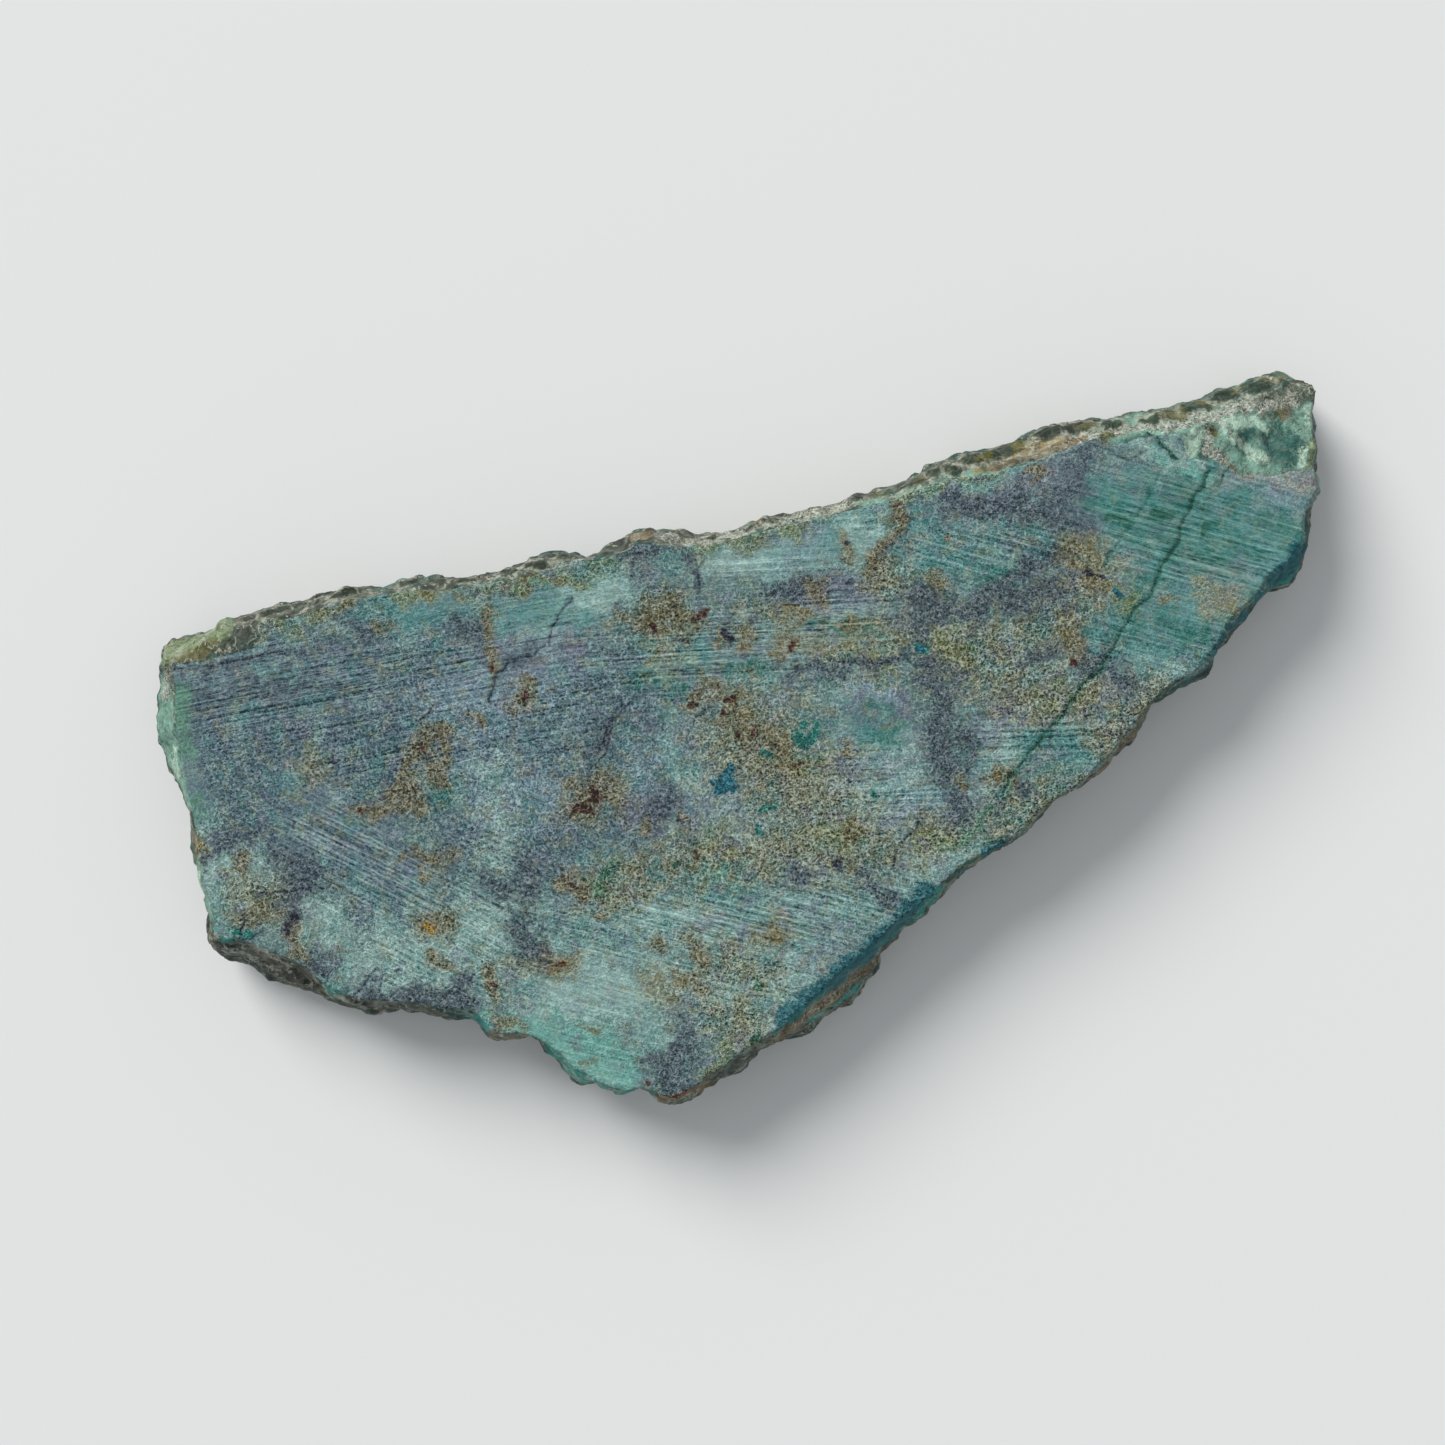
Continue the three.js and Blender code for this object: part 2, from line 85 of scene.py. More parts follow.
LAYERS = {
    # broad tones
    "slate": [
        (5.5, (-38, 13), (-24, 12)), (1.2, (-42.4, 17), (-42.2, 9)), (3, (-41.6, 8), (-40.6, 16)),
        (1.8, (-23, 4.4), (-15, 5.2)), (4, (-38, 7), (-20, 6)), (2.6, (-33, 2), (-22, 0)),
        (3, (-20, -1), (-12, 3)), (3, (-18, 10), (-11, 9)), (1.6, (-36, 17), (-28, 16.5)),
        (1.3, (-33, -2.6), (-30, -2.4)),
    ],
    "blush": [
        (0.55, (37.6, 14.5), (39.6, 14), (41.4, 12.9), (42.9, 11.6)), (0.7, (36.4, 14), (37.6, 12.9)),
        (0.9, (32.6, 8.9), (35.4, 7.6)), (0.8, (39, 9.6), (40.2, 9)), (0.9, (33, 6.4), (34.2, 5.4)),
        (1.3, (-4.4, -5.2), (-1.6, -4.6)), (1.2, (0.8, -0.6), (2.6, -2)),
        (0.8, (-4.2, -1.4), (-2, -0.8)),
    ],
    "lavender": [
        (2, (-19, 13.6), (-14, 13.5)), (1.6, (4, 13), (9, 12.4)), (1.4, (-11, 0.5), (-8, -1)),
        (0.9, (9.3, 0.4), (9.2, 4)), (1.5, (15.5, -0.6), (17.5, 1)), (1.6, (-1, -6.8), (-0.4, -5.6)),
        (1, (-1, -13), (1, -12.6)), (2, (18, 17.4), (25, 17)), (1.4, (25, 0.4), (23.5, 2)),
    ],
    "bluegrey": [
        (2.4, (4.6, -1.4), (7.6, -3.4)), (1, (2.6, 15.8), (7.5, 16.4)), (1.6, (-9.5, 3.4), (-6.8, 4.6)),
        (2.8, (-23, 10.4), (-17, 11)), (2.4, (-22, 5), (-18, 3)), (1.8, (-5.6, -0.4), (-2.6, -2.6)),
        (1.6, (10.6, -4.4), (13.4, -5.6)), (1.2, (5.8, 6.4), (8.5, 4.2)),
        (1.4, (36.6, 12.4), (40.4, 11.4)),
    ],
    "water": [
        (2.6, (-18, -8), (-8, -8)), (2.2, (-7, -9.6), (5, -10.2)), (2.4, (-3, -13), (-9, -14)),
        (1.6, (-20, -12), (-14, -15)), (2, (14, -2.6), (20, -3.4)), (1.2, (-6.6, 2.8), (-8.6, 4.4)),
        (2.2, (-30, -6.4), (-25, -5.6)), (1.6, (8.6, -8.2), (13, -8)), (1.4, (3, 16), (9, 15.4)),
        (1.3, (-17, 16.6), (-9, 16)), (1.2, (36.5, 9.8), (40, 8.6)), (1.4, (28.4, 1.8), (33, 3.2)),
    ],
    "teal": [
        (2, (13, 13.4), (22, 12)), (3.2, (29, 14), (32, 5)), (3, (34, 11), (39, 8)),
        (1.6, (25.5, 5.4), (29, 3)), (1.2, (5.4, 2.6), (8.2, 1.2)), (1.4, (-7.6, 11), (-5, 10.6)),
        (1.5, (-18, 17), (-12, 16.4)), (1.7, (-26, 18.6), (-22.6, 17.4)), (1.2, (8.4, 17), (10.2, 17.6)),
        (1.2, (-21, -14), (-17, -18.4)), (0.9, (-6.8, -6), (-5.4, -7.2)), (1.2, (12, 15.6), (14.6, 17)),
        (1.6, (17.5, -3), (22, -2.4)), (0.8, (20.4, 6.8), (19.4, 5)),
    ],
    "deep": [
        (2.2, (33.6, 13.2), (30.2, 12.4), (33, 10)), (1.3, (28, 6.6), (30.8, 8.4)),
        (1, (17.6, 11.6), (19.6, 11)),
        (0.5, (36.2, 15.3), (31.9, 9.6), (26.5, 4.7), (21.2, -0.2), (15.2, -5)),
        (1.2, (26.6, 15), (28.8, 12.8)), (1, (30.5, 4.2), (33, 3)),
        (1, (35.6, 11.6), (38.6, 12.2)), (1.5, (34.4, 9.2), (36.6, 8.6)), (0.8, (4, 11.2), (8.6, 9.8)),
        (0.9, (-1, 8.6), (0.6, 8)), (1, (-8.4, 9.6), (-6.4, 8.8)), (0.8, (-24.6, 5), (-26, 4.6)),
        (1, (6.8, 2.5), (8.7, 1.5)), (0.7, (-1, 9), (0.4, 8.6)), (0.5, (-7.4, -5.6), (-6.8, -6.2)),
        (1.2, (38.6, 10.6), (40.4, 8.6)), (0.6, (32.6, 2.2), (34.6, 3.6), (37.2, 5.2)),
    ],
    "pale": [
        (2.8, (-34, -6), (-25.5, -6.2)), (1.9, (-43.4, 5), (-42.2, 2)),
        (2.2, (1.2, -2), (5.4, -3.2)), (1.4, (18.4, 5), (21.6, 3.4)),
        (1.8, (-13.6, -12.6), (-10.6, -14.4)), (0.5, (33.2, 17.6), (33.6, 16.2)),
        (0.4, (34.6, 16.8), (34.9, 15.8)), (0.5, (31, 18.4), (32, 17.6)),
        (1.4, (-37.4, -1.8), (-35.6, -3.4)), (2.2, (-3.4, -3.2), (-0.5, -5.2)),
        (1.6, (3, -4.2), (0.6, -3.4)), (1.6, (-24, -4.8), (-25.8, -8)), (2.3, (-21, -11), (-14, -12.8)),
        (1.6, (-12, -7.4), (-8, -9.6)), (1.2, (-22.6, -3.6), (-21, 5.6)), (1.8, (-11, -15), (-3, -14.8)),
        (2, (3.4, -3.6), (8, -1.4)), (1.5, (-12.4, -12), (-8.6, -13.4)),
        (1, (-9.4, 16.4), (-12.6, 17)), (0.9, (-2, 16.8), (1.5, 15.6)),
        (1.4, (9.6, 16.6), (10.4, 15.6)), (1.6, (-42.2, 3), (-40, 2.6)),
        (1.2, (-19.5, -12), (-22, -12)), (1, (-2, -16.4), (-5.4, -17)), (1.2, (8, -8.8), (11, -8.4)),
        (0.9, (16, -2), (15.6, -0.6)), (0.8, (-4, 2.8), (-6.8, 1.6)),
    ],
    "turquoise": [
        (0.8, (-7.3, -5.4), (-6.6, -6.3)), (0.4, (32.2, 18.4), (32.8, 16.8)),
        (0.4, (33.8, 15.6), (35, 14.9)), (1.6, (-22.4, -14.2), (-20, -17), (-17.6, -18.8)),
        (0.8, (-24, -13.4), (-22.4, -14.6)), (0.9, (-18.6, -14.8), (-16.6, -17.2)),
        (0.7, (-43.2, -0.8), (-42.4, -1.6)), (0.5, (-26, -12), (-25.7, -12.8)),
        (0.5, (-37.2, -7), (-36.2, -7.9)), (0.7, (22.4, 18.6), (18.4, 18.2)),
        (0.5, (14.4, 18.6), (16, 18.9)),
    ],
    "olive": [
        (3.4, (-2.4, 3.6), (1.6, -3.4)), (1.8, (-8.6, -4.2), (4.6, -5.6)), (1.4, (2.4, -6.2), (4, -7.6)),
        (1.5, (5, 8), (10.4, 8.4)), (2.4, (14.2, 6.6), (19, 3.4)), (1.8, (20, 6.8), (26, 9.2)),
        (1.5, (18, 1.6), (22.6, 0.8)), (1.5, (9.2, -7), (12, -6.4)), (1.7, (15, -6.6), (19.8, -5.8)),
        (1.3, (24, -2.6), (28, -0.2)), (1.5, (-9, -15.6), (-7.6, -16.6)),
        (1, (-5.4, -14.4), (-4.6, -14)), (1.2, (-13.6, -12.4), (-12, -13.4)),
        (1.2, (-8.4, -11.6), (-6.4, -13.2)), (0.9, (-3.2, -10.4), (-4.4, -11)),
        (1.1, (-21.6, -8.8), (-20.6, -8.6)), (1.5, (-15.6, -4.8), (-11.8, -4.4)),
        (0.9, (33.2, 6.2), (35.4, 4.4)), (0.9, (-34.4, 8.4), (-33.4, 9.2)),
        (1.2, (-41, 1.2), (-38.6, -0.2)), (0.9, (-7.4, 11.2), (-6, 11)),
        (0.9, (0.8, 12.6), (2.6, 11.6)), (1.1, (11.6, 12), (10, 13.6)),
    ],
    "moss": [  # the yellow-green band inside the long edge, and what lies by it
        (0.6, (-39.6, 20.2), (-34, 20.5), (-28.6, 20.6)), (0.5, (-35.6, 19.7), (-33.4, 19.6)),
        (0.5, (-25.2, 19.9), (-22, 19.5)), (0.6, (-19.4, 19), (-14, 18.5), (-9.4, 18.4)),
        (0.6, (-2.6, 18.1), (2.4, 18.2), (6.8, 18.4)), (0.5, (13, 18.6), (20, 18.9), (25, 19.6)),
        (0.9, (0.6, 0.9), (2.8, 0.4)), (0.8, (8.2, 7.6), (8.9, 5.2)), (0.9, (13.4, 7.2), (15.4, 6.2)),
        (0.8, (20.4, 1.6), (21.6, 1)), (0.6, (27.2, 6.7), (27.6, 7.1)),
        (0.7, (-6.4, -2.8), (-4.8, -3.6)), (0.7, (1.2, -4.8), (3.4, -5.2)),
        (0.6, (8.4, -6.6), (10.6, -7.4)), (0.7, (-10.4, -19.9), (-8.2, -18.8)),
    ],
    # veins, patches and specks
    "vein": [
        (0.7, (-28.2, 17.9), (-27.2, 17.4)),
        (0.28, (-42.5, 18.5), (-39.6, 18.2), (-35.8, 17.8), (-30, 17.3)),
        (0.3, (-42, 16.6), (-38, 16.4), (-34, 16)), (0.25, (-41.6, 15.4), (-36, 15.2), (-31, 14.7)),
        (0.85, (-20.8, 16.6), (-19.6, 16.3)), (0.6, (-18.4, 13.2), (-16.2, 13.4)),
        (0.9, (-13.4, 5.8), (-12.4, 6.8)), (0.5, (-9.6, 19.3), (-7.2, 19.1), (-4.4, 19.2)),
        (0.3, (-7.6, 17.6), (-7, 18.4)), (0.35, (-3.2, 18.2), (-3.1, 15.6)),
        (0.6, (2, 13.4), (5.4, 13.7)), (0.5, (2.8, 7.6), (4, 7.4)),
        (0.28, (4.4, 7.1), (7.4, 6.9), (9.4, 6.3), (12.4, 6)), (0.45, (8.4, 6.5), (10.8, 6.3)),
        (0.9, (11.4, 9.6), (12, 8.2)), (1, (12.4, 5.6), (12.9, 3.6), (11.8, 1.4)),
        (1.1, (11.9, 1.2), (11.5, -1.6), (12.2, -4.2), (11.7, -5.7)), (0.5, (13.3, 0.2), (13.5, -2.2)),
        (0.6, (14.4, 4.5), (14.9, 4.1)), (1, (16.6, 16.9), (20, 15.9), (24, 15.2), (26.6, 16.2)),
        (0.5, (11.4, 14.9), (12.6, 16.2), (12.4, 17.6)), (0.8, (14.4, 9.8), (11.8, 11)),
        (0.9, (26.4, 17), (27.3, 18.2)), (0.9, (23.8, 14.3), (26.2, 13.2)),
        (0.8, (18.4, 10.2), (20.8, 11.2), (23.2, 11.6)), (1.3, (19.8, 8.9), (22.6, 9)),
        (0.8, (12.8, 9.4), (16.4, 8.8), (18.8, 9.6)), (0.7, (20, 4.9), (21, 4.4)),
        (0.9, (23.8, 3.2), (25.2, 2.6)), (0.7, (25.8, 1.8), (26.8, 0.4)),
        (0.5, (16.2, -4.4), (17, -5)), (0.4, (14, -6.4), (14.6, -6.8)),
        (0.5, (18, -6.9), (19, -6.7)), (1, (4, -8.9), (5.6, -10.8)),
        (0.45, (2, -6.8), (2.4, -7.3)), (0.7, (-1.3, -6.4), (-0.8, -7.2)),
        (0.8, (-11.6, -15.6), (-12.1, -17.2)), (1.4, (-12.6, -18), (-13.4, -19.4)),
        (0.5, (-14.9, -17.4), (-14.2, -18)), (1, (-19.8, -1.6), (-20.6, -3.8)),
        (1.1, (-21.4, -6.6), (-20.8, -8.6)), (0.7, (-23.2, -2.2), (-22.2, -2.8)),
        (0.5, (-43.2, 4.2), (-41.4, 5.4), (-39.6, 5.2)), (1, (-37.6, 3.6), (-36.9, 1.2), (-38.2, -0.8)),
        (0.5, (-38.3, -1.2), (-38.8, -2.6)), (0.9, (-37.8, -4.4), (-36.9, -6)),
        (0.7, (-35.4, -8.4), (-32.4, -8.6)), (0.8, (-31.2, -9.5), (-28.2, -9.4), (-26.8, -9)),
        (0.7, (-29.2, -10.6), (-27.2, -10.7)), (0.6, (-10.6, -0.6), (-8.4, 0.7)),
        (0.35, (-11.6, -1.6), (-12, -2.3)),
    ],
    "ochre": [
        (0.7, (-31.7, 4.8), (-29.6, 4.8), (-27.6, 5), (-26.9, 6.6), (-26.2, 8.7)),
        (0.8, (-24.9, 6.2), (-24.5, 8.2)), (0.5, (-25.6, 9.2), (-24, 9.2)),
        (0.45, (-18.4, 17.1), (-18.9, 15.8)), (0.4, (-19.7, 14.6), (-19.4, 12.8)),
        (0.6, (-17.9, 9.8), (-17, 11.5)), (0.3, (-21.8, 10.1), (-21.1, 9.3)),
        (1.2, (-15.8, 1.3), (-13.2, 2.8)), (0.8, (-16, 3.4), (-12.6, 1.2)),
        (0.7, (-27.6, 1.4), (-26.3, 0.5)), (0.35, (-27.7, -0.2), (-27.2, -0.7)), (0.35, (-29.5, 1.3)),
        (0.8, (-28.3, -4.2), (-27.4, -4.6)), (0.45, (-28.4, -6.7), (-27.8, -7.3)),
        (0.8, (-20.3, -9.2), (-19, -9.7)), (0.5, (-24.9, -9.2), (-24.4, -10.2)),
        (0.5, (-18, -3.5), (-16.9, -4.2)), (0.35, (-16.3, -6.3), (-16, -6.9)),
        (1, (-8.2, 13.8), (-5.8, 14.6), (-4.4, 13.4)), (0.6, (-7.4, 12.7), (-4.4, 12.5)),
        (0.55, (-0.9, 11.7), (-0.5, 10.8)), (0.4, (-2.7, 10.9), (-2.4, 11.4)),
        (0.35, (3.2, 12.6), (3, 10.4), (1.8, 9.5)), (0.6, (5, 13.1), (5.8, 12.6)),
        (0.4, (7.8, 14.9), (8.6, 15.9)), (0.6, (12.6, 17.9), (12.2, 16.2), (11, 14.8)),
        (0.5, (9.4, 14.2), (11.4, 13.8)), (0.4, (6.8, 10.5), (7.3, 10.3)),
        (0.6, (13.8, 11.6), (14.3, 11.1)), (0.3, (15.7, 14.7)), (0.5, (-5.8, 7), (-5.1, 7.4)),
        (0.6, (-4.2, 8.4), (-3.8, 8.1)), (0.9, (-3.4, 6.6), (-1.4, 3.4)), (0.5, (-0.6, 3.4), (0.2, 2)),
        (0.7, (0.4, 1), (1, 0.4)), (0.3, (4.8, 1.4), (5, 0.8)), (0.9, (24.2, 11.9), (25.8, 11.3)),
        (0.5, (24, 10.8), (24.6, 10)), (0.5, (25.2, 8.8), (26.2, 8.4)),
        (0.9, (22.4, 5.2), (23.2, 4.2)), (0.4, (21.8, 6.3), (22, 5.9)),
        (0.25, (30.2, 6.1), (30.7, 5.9)), (0.4, (4.2, -4.9), (3.9, -5.4)), (0.3, (3, -7.3)),
        (0.3, (-8, -3.6), (-7.9, -4.2)), (0.35, (-8.7, -0.9), (-8.2, -1.2)), (0.45, (-10.8, -0.8)),
        (0.7, (-9.8, -9.8), (-9.3, -11.4)), (0.6, (-10.5, -12.4), (-10.2, -13.8)),
        (0.5, (-12.4, -9.6), (-12.2, -10.2)), (0.5, (-4.3, -10.4), (-3.8, -11)),
        (0.5, (15.1, -3.4), (15.8, -3.7)), (0.4, (13, -2.6), (13.1, -3.4)),
        (0.3, (-21.6, -16.2), (-21.3, -16.6)), (0.4, (-19.4, -17.2), (-18.9, -17.5)),
        (0.3, (-18.6, -14.5), (-18.2, -14.7)), (0.45, (-43.9, 5.5), (-43.6, 4.9)),
        (0.5, (-41.4, 3.8), (-40.6, 3.4)), (0.7, (-41, -0.8), (-39.8, -1.1)),
        (0.6, (-38.3, -2.7), (-38.5, -3.6)), (0.45, (-29.2, 20.4), (-28.2, 20.6)),
        (0.35, (-31.9, 20.4), (-31, 20.5)), (0.3, (-35.8, 20.6), (-35.2, 20.6)),
        (0.35, (-23.2, 19.8), (-22.6, 19.6)), (0.3, (-17.2, 19), (-16.8, 19.3)),
        (0.3, (-15.8, 18.4), (-15.2, 18.6)), (0.3, (-13.2, 18.2), (-12.6, 18.1)),
        (0.4, (-21, 19.6), (-20.4, 19.3)), (0.35, (-26.6, 18.1), (-26.4, 17.7)),
        (0.5, (-25, -13.2), (-23.6, -13.2)), (0.4, (21.4, 19.4), (25.4, 19.9)),
        (0.4, (28.4, 19.2), (29.2, 19.2)), (0.35, (22.6, 17.8), (24.4, 17.6)),
    ],
    "rust": [
        (0.26, (-25.9, 8.5), (-25.8, 8.3)), (0.2, (-31.4, 5.2), (-31.1, 5)),
        (0.16, (-19.5, 13.2), (-19.4, 12.9)), (0.26, (-17.7, 10.4), (-17.4, 10.7)),
        (0.34, (-14.2, 2.5), (-14, 2)), (0.26, (-15.8, 1.5), (-15, 1.2)),
        (0.2, (-14.8, 1.8), (-14.4, 1.7)), (0.2, (-15.5, -5.4), (-15.3, -5.7)),
        (0.2, (-34, -9), (-33.8, -8.9)), (0.26, (-3.8, 13.3), (-3.1, 13.5)), (0.14, (-3.4, 13)),
        (0.16, (-7.2, 13.5), (-7, 13.1)), (0.24, (2.6, 9.6), (2.3, 9.2)), (0.1, (3.1, 10)),
        (0.16, (-3.2, 6.8), (-2.5, 6.7)), (0.14, (-3.6, 5.9), (-3.5, 5.7)),
        (0.13, (-2.9, 4.2), (-2.9, 3.9)), (0.2, (-1.7, 4.4), (-1.8, 3.9)),
        (0.14, (-5.9, 6.9), (-5.3, 6.8)), (0.22, (22.5, 3.4), (22.8, 3.2)), (0.12, (10.9, 14.8)),
        (0.14, (15.7, 14.6)), (0.16, (-17.5, -3.9), (-17.1, -4.1)), (0.14, (-15.4, -19.4)),
        (0.25, (-14.4, -20.9), (-12.8, -21)), (0.2, (22, -5.2), (23, -5.1)),
        (0.14, (13, 17.9), (12.4, 18)), (0.14, (-8.6, -1.1), (-8.3, -1.1)),
        (0.16, (-7.9, -3.6), (-7.9, -4)), (0.14, (0.7, 0.9), (1.3, 0.9)), (0.12, (4.9, 0.8)),
        (0.16, (-24.9, -9.6), (-24.6, -9.9)), (0.18, (-19.9, -9.4), (-19.3, -9.4)),
    ],
    "amber": [
        (0.3, (-28.6, -4.3), (-28.3, -4.6)), (0.25, (-19.3, -9.4)), (0.2, (-13.2, -20.9)),
        (0.2, (15.3, -3.5)), (0.25, (-43.9, 5.4)), (0.25, (23, 19.6), (24.6, 19.8)),
    ],
    "ink": [  # blue-black spots
        (0.26, (-1.9, 11.6), (-1.7, 11.1)), (0.14, (-1.5, 12.1)), (0.24, (25.2, 9.8), (25.4, 9.5)),
        (0.16, (26, 9.4), (26.3, 9.2)), (0.3, (-38.2, -1.3), (-37.9, -1.7)),
        (0.25, (-38.6, -1.9), (-38.7, -2.4)), (0.15, (-36.3, 5.4), (-36.4, 5)),
        (0.15, (-32.6, 9.1), (-32.3, 9)), (0.12, (-31.7, -7.1), (-31.4, -7.1)),
        (0.22, (26.8, 8), (26.9, 7.6)), (0.2, (8.4, 16)), (0.2, (-20.1, 11.3)), (0.3, (2.1, -7)),
    ],
    "copper": [  # blue copper specks
        (0.3, (-3.9, 2), (-4.3, 1.4)), (0.62, (-4.4, 1), (-4.6, 0.6)),
        (0.36, (-4, 0.3), (-5.3, 0.4)), (0.2, (-5.4, 0.9)), (0.24, (26.9, 7.9), (27.1, 7.3)),
        (0.22, (11.5, 7.3), (12, 7.1)),
    ],
    "jade": [  # green-blue specks and small blocks
        (0.44, (1.4, 2.9), (1.9, 2.4)), (0.34, (2.3, 2.5), (2.7, 3)), (0.26, (2.8, 3.1), (3.1, 3.6)),
        (0.18, (1.9, 3.4), (2.2, 3.6)), (0.34, (11.6, 7.3), (12.1, 7)),
        (0.28, (-1.1, 2.2), (-0.8, 1.9)), (0.22, (-2.3, -1.6), (-1.4, -1.8)),
        (0.24, (-2.8, -2.9), (-3, -3.4)), (0.22, (5.8, -2.3), (6.1, -3)),
        (0.4, (-42.4, -1.6), (-41.4, -2)),
    ],
    "fern": [  # small dark green specks
        (0.2, (-14.1, -3.4), (-13.6, -3.2)), (0.18, (-15.2, -4), (-14.2, -3.7)), (0.16, (-16.4, -3.6)),
        (0.18, (-9.9, -4.3), (-9.3, -4.1)), (0.16, (-0.3, 2.6)), (0.4, (32.2, 12.4), (31.2, 12.8)),
        (0.3, (34.8, 11), (34.3, 10.6)), (0.3, (27.6, 13.4), (29.2, 12.6)),
        (0.2, (-38.9, -4.8), (-39.6, -4.9)), (0.25, (-5.8, -14.6), (-5.5, -14.5)),
        (0.3, (-7.1, -18.3), (-6.6, -18.1)),
    ],
    "strip": [  # deep blue-green strips along the edges
        (0.74, (8, -10.4), (6.4, -11.7)), (0.84, (5.8, -12.4), (2.6, -14.1), (0.4, -15)),
        (0.68, (0, -15.4), (-2.4, -16.2), (-4.6, -17.2)), (0.8, (40.9, 7.4), (40.3, 6.7), (39.2, 6.1)),
        (0.47, (37.9, 5), (37.4, 4.6)), (0.41, (36.4, 4), (34.6, 3), (33.2, 1.8)),
        (0.54, (13.2, -8.9), (14.4, -8.4)),
    ],
    "green": [
        (1, (-43.1, 16.4), (-43.2, 13.6)), (0.5, (-43.2, 12.6), (-43.1, 11.4)),
        (0.25, (-43.5, 8.6), (-43.4, 7)), (0.4, (-5.7, -14.6)),
        (0.35, (10.2, -7.9), (12.4, -7), (14, -6.2)), (0.35, (13.6, -7.8), (15, -8.3)),
        (0.4, (-14, -3.2), (-15.4, -5)),
    ],
}

# The layers of small crisp spots and strips. They do not run down the sides.
ACCENTS = ("rust", "amber", "ink", "copper", "jade", "fern", "strip")

# The cracks, by half width and path. The longest one starts near the unsawn corner and crosses the right of
# the face.
CRACKS = [
    (0.07, (35.8, 14.9), (34.4, 13.4), (33.3, 11.9), (32.2, 10.3), (30.9, 8.8), (29.5, 7.4), (28.2, 6.1),
     (26.6, 4.9)),
    (0.06, (26.6, 4.9), (26, 4), (24.6, 2.8), (23.2, 1.8), (22.2, 1.1), (21.3, 0), (19.9, -0.9)),
    (0.05, (19.9, -0.9), (18.1, -2.2), (16.2, -3.6), (15.4, -4.9)),
    (0.03, (39.6, 17.2), (38.4, 16.1), (37.3, 14.9), (36, 13.7)),
    (-0.03, (29.2, 12.1), (27.8, 11.2), (26.8, 10)), (-0.03, (32.2, 15.6), (30.6, 13.6), (28.6, 12.6)),
    (0.03, (32.6, 19), (32.9, 17.6), (33.6, 16.4)),
]

# Thin dark veins, by half width and path.
THREADS = [
    (0.05, (-42.4, 18.5), (-40.2, 18.3), (-38, 18.1), (-36, 17.9)),
    (0.06, (-20.3, 10.9), (-19.2, 12.6), (-18.4, 13.3)),
    (0.04, (-18.4, 13.3), (-16.4, 13.2), (-15.2, 13.9)),
    (0.05, (-14.9, 13.9), (-14.4, 15), (-13.5, 15.9), (-12.5, 16.7)),
    (0.05, (-25.7, 10.3), (-25.2, 10.9), (-24.2, 11.6)),
    (0.04, (-14, 4), (-12.6, 5), (-11.9, 6.2), (-11.4, 7.3), (-10.1, 8.2)),
    (0.03, (-12.9, 5.6), (-12.1, 6.4), (-11.7, 7.4), (-10.6, 8.3)),
    (0.06, (-5.8, 5.6), (-5.2, 6.3), (-4.3, 6.6)), (0.03, (-7.9, 6.6), (-8.1, 5.2)),
    (0.04, (6, -8.2), (6.9, -6.9), (7.7, -6.3), (8.9, -5.3)), (0.07, (-41.4, -0.2), (-42.2, -1.8)),
    (0.06, (-43.6, -1.8), (-41.8, -2.4), (-40.4, -1.9)),
    (0.06, (-35.2, -8.4), (-34.2, -7.6), (-32.8, -6.6)), (0.03, (-33, -8.2), (-32.4, -7.2)),
    (0.02, (-3, 15.2), (-2.9, 16.4), (-2.3, 17.4)), (0.03, (-22.2, -4.6), (-21.6, -6.4), (-20.4, -8.2)),
    (0.03, (-38.9, 5), (-38.2, 3.2), (-38.8, 1.4)), (0.03, (-40.2, 0.9), (-37.4, 0.6), (-34.8, 0.1)),
    (0.03, (5.2, 8), (8, 6.8), (10.2, 6.6)), (0.02, (29, 18), (30.2, 17), (31.6, 17.4)),
]

# Where the saw left marks: their direction in degrees, anticlockwise from +X, how much paler or darker than
# the stone they are on the whole, and the strokes they cover.
SAW_MARKS = {
    "saw_level": (
        -4,
        -0.3,
        [
            (4.5, (-40, 15.5), (-22, 14.5)), (2.4, (-17, 16.6), (-8, 15.6)), (3, (-30, 9), (-14, 9)),
        ],
    ),
    "saw_shallow": (
        -11,
        0.2,
        [
            (4, (-9, 11.5), (9, 11)), (2, (0, 16), (9, 16)), (3, (4, -1.5), (8, -3.5)),
            (2.2, (15, -0.5), (24, -2)),
        ],
    ),
    "saw_slant": (
        -28,
        0.3,
        [
            (3.6, (-19, -8), (5, -10)), (2.6, (-18, -12.5), (-4, -14)), (2.6, (12, 13.5), (24, 12.5)),
            (6, (30, 12), (38, 8)), (2.8, (26, 4.5), (34, 3)), (1.6, (-20, -16), (-16, -18.5)),
        ],
    ),
    "saw_steep": (
        -41,
        0.4,
        [
            (3.4, (-35, 3.5), (-24, -5)), (2.4, (-31, -6.5), (-24, -9)), (1.6, (-24, 1), (-19, -3)),
        ],
    ),
}

# Natural faces that the saw just missed: the upper right corner, the lower right bevel and the upper left
# corner.
NATURAL = [
    (3, (30.4, 20.6), (34, 18.9), (38.5, 17.6), (43, 15)), (2.2, (10.6, -10.8), (-3, -18.4)),
    (1.4, (-44, 20.2), (-37, 20)),
]

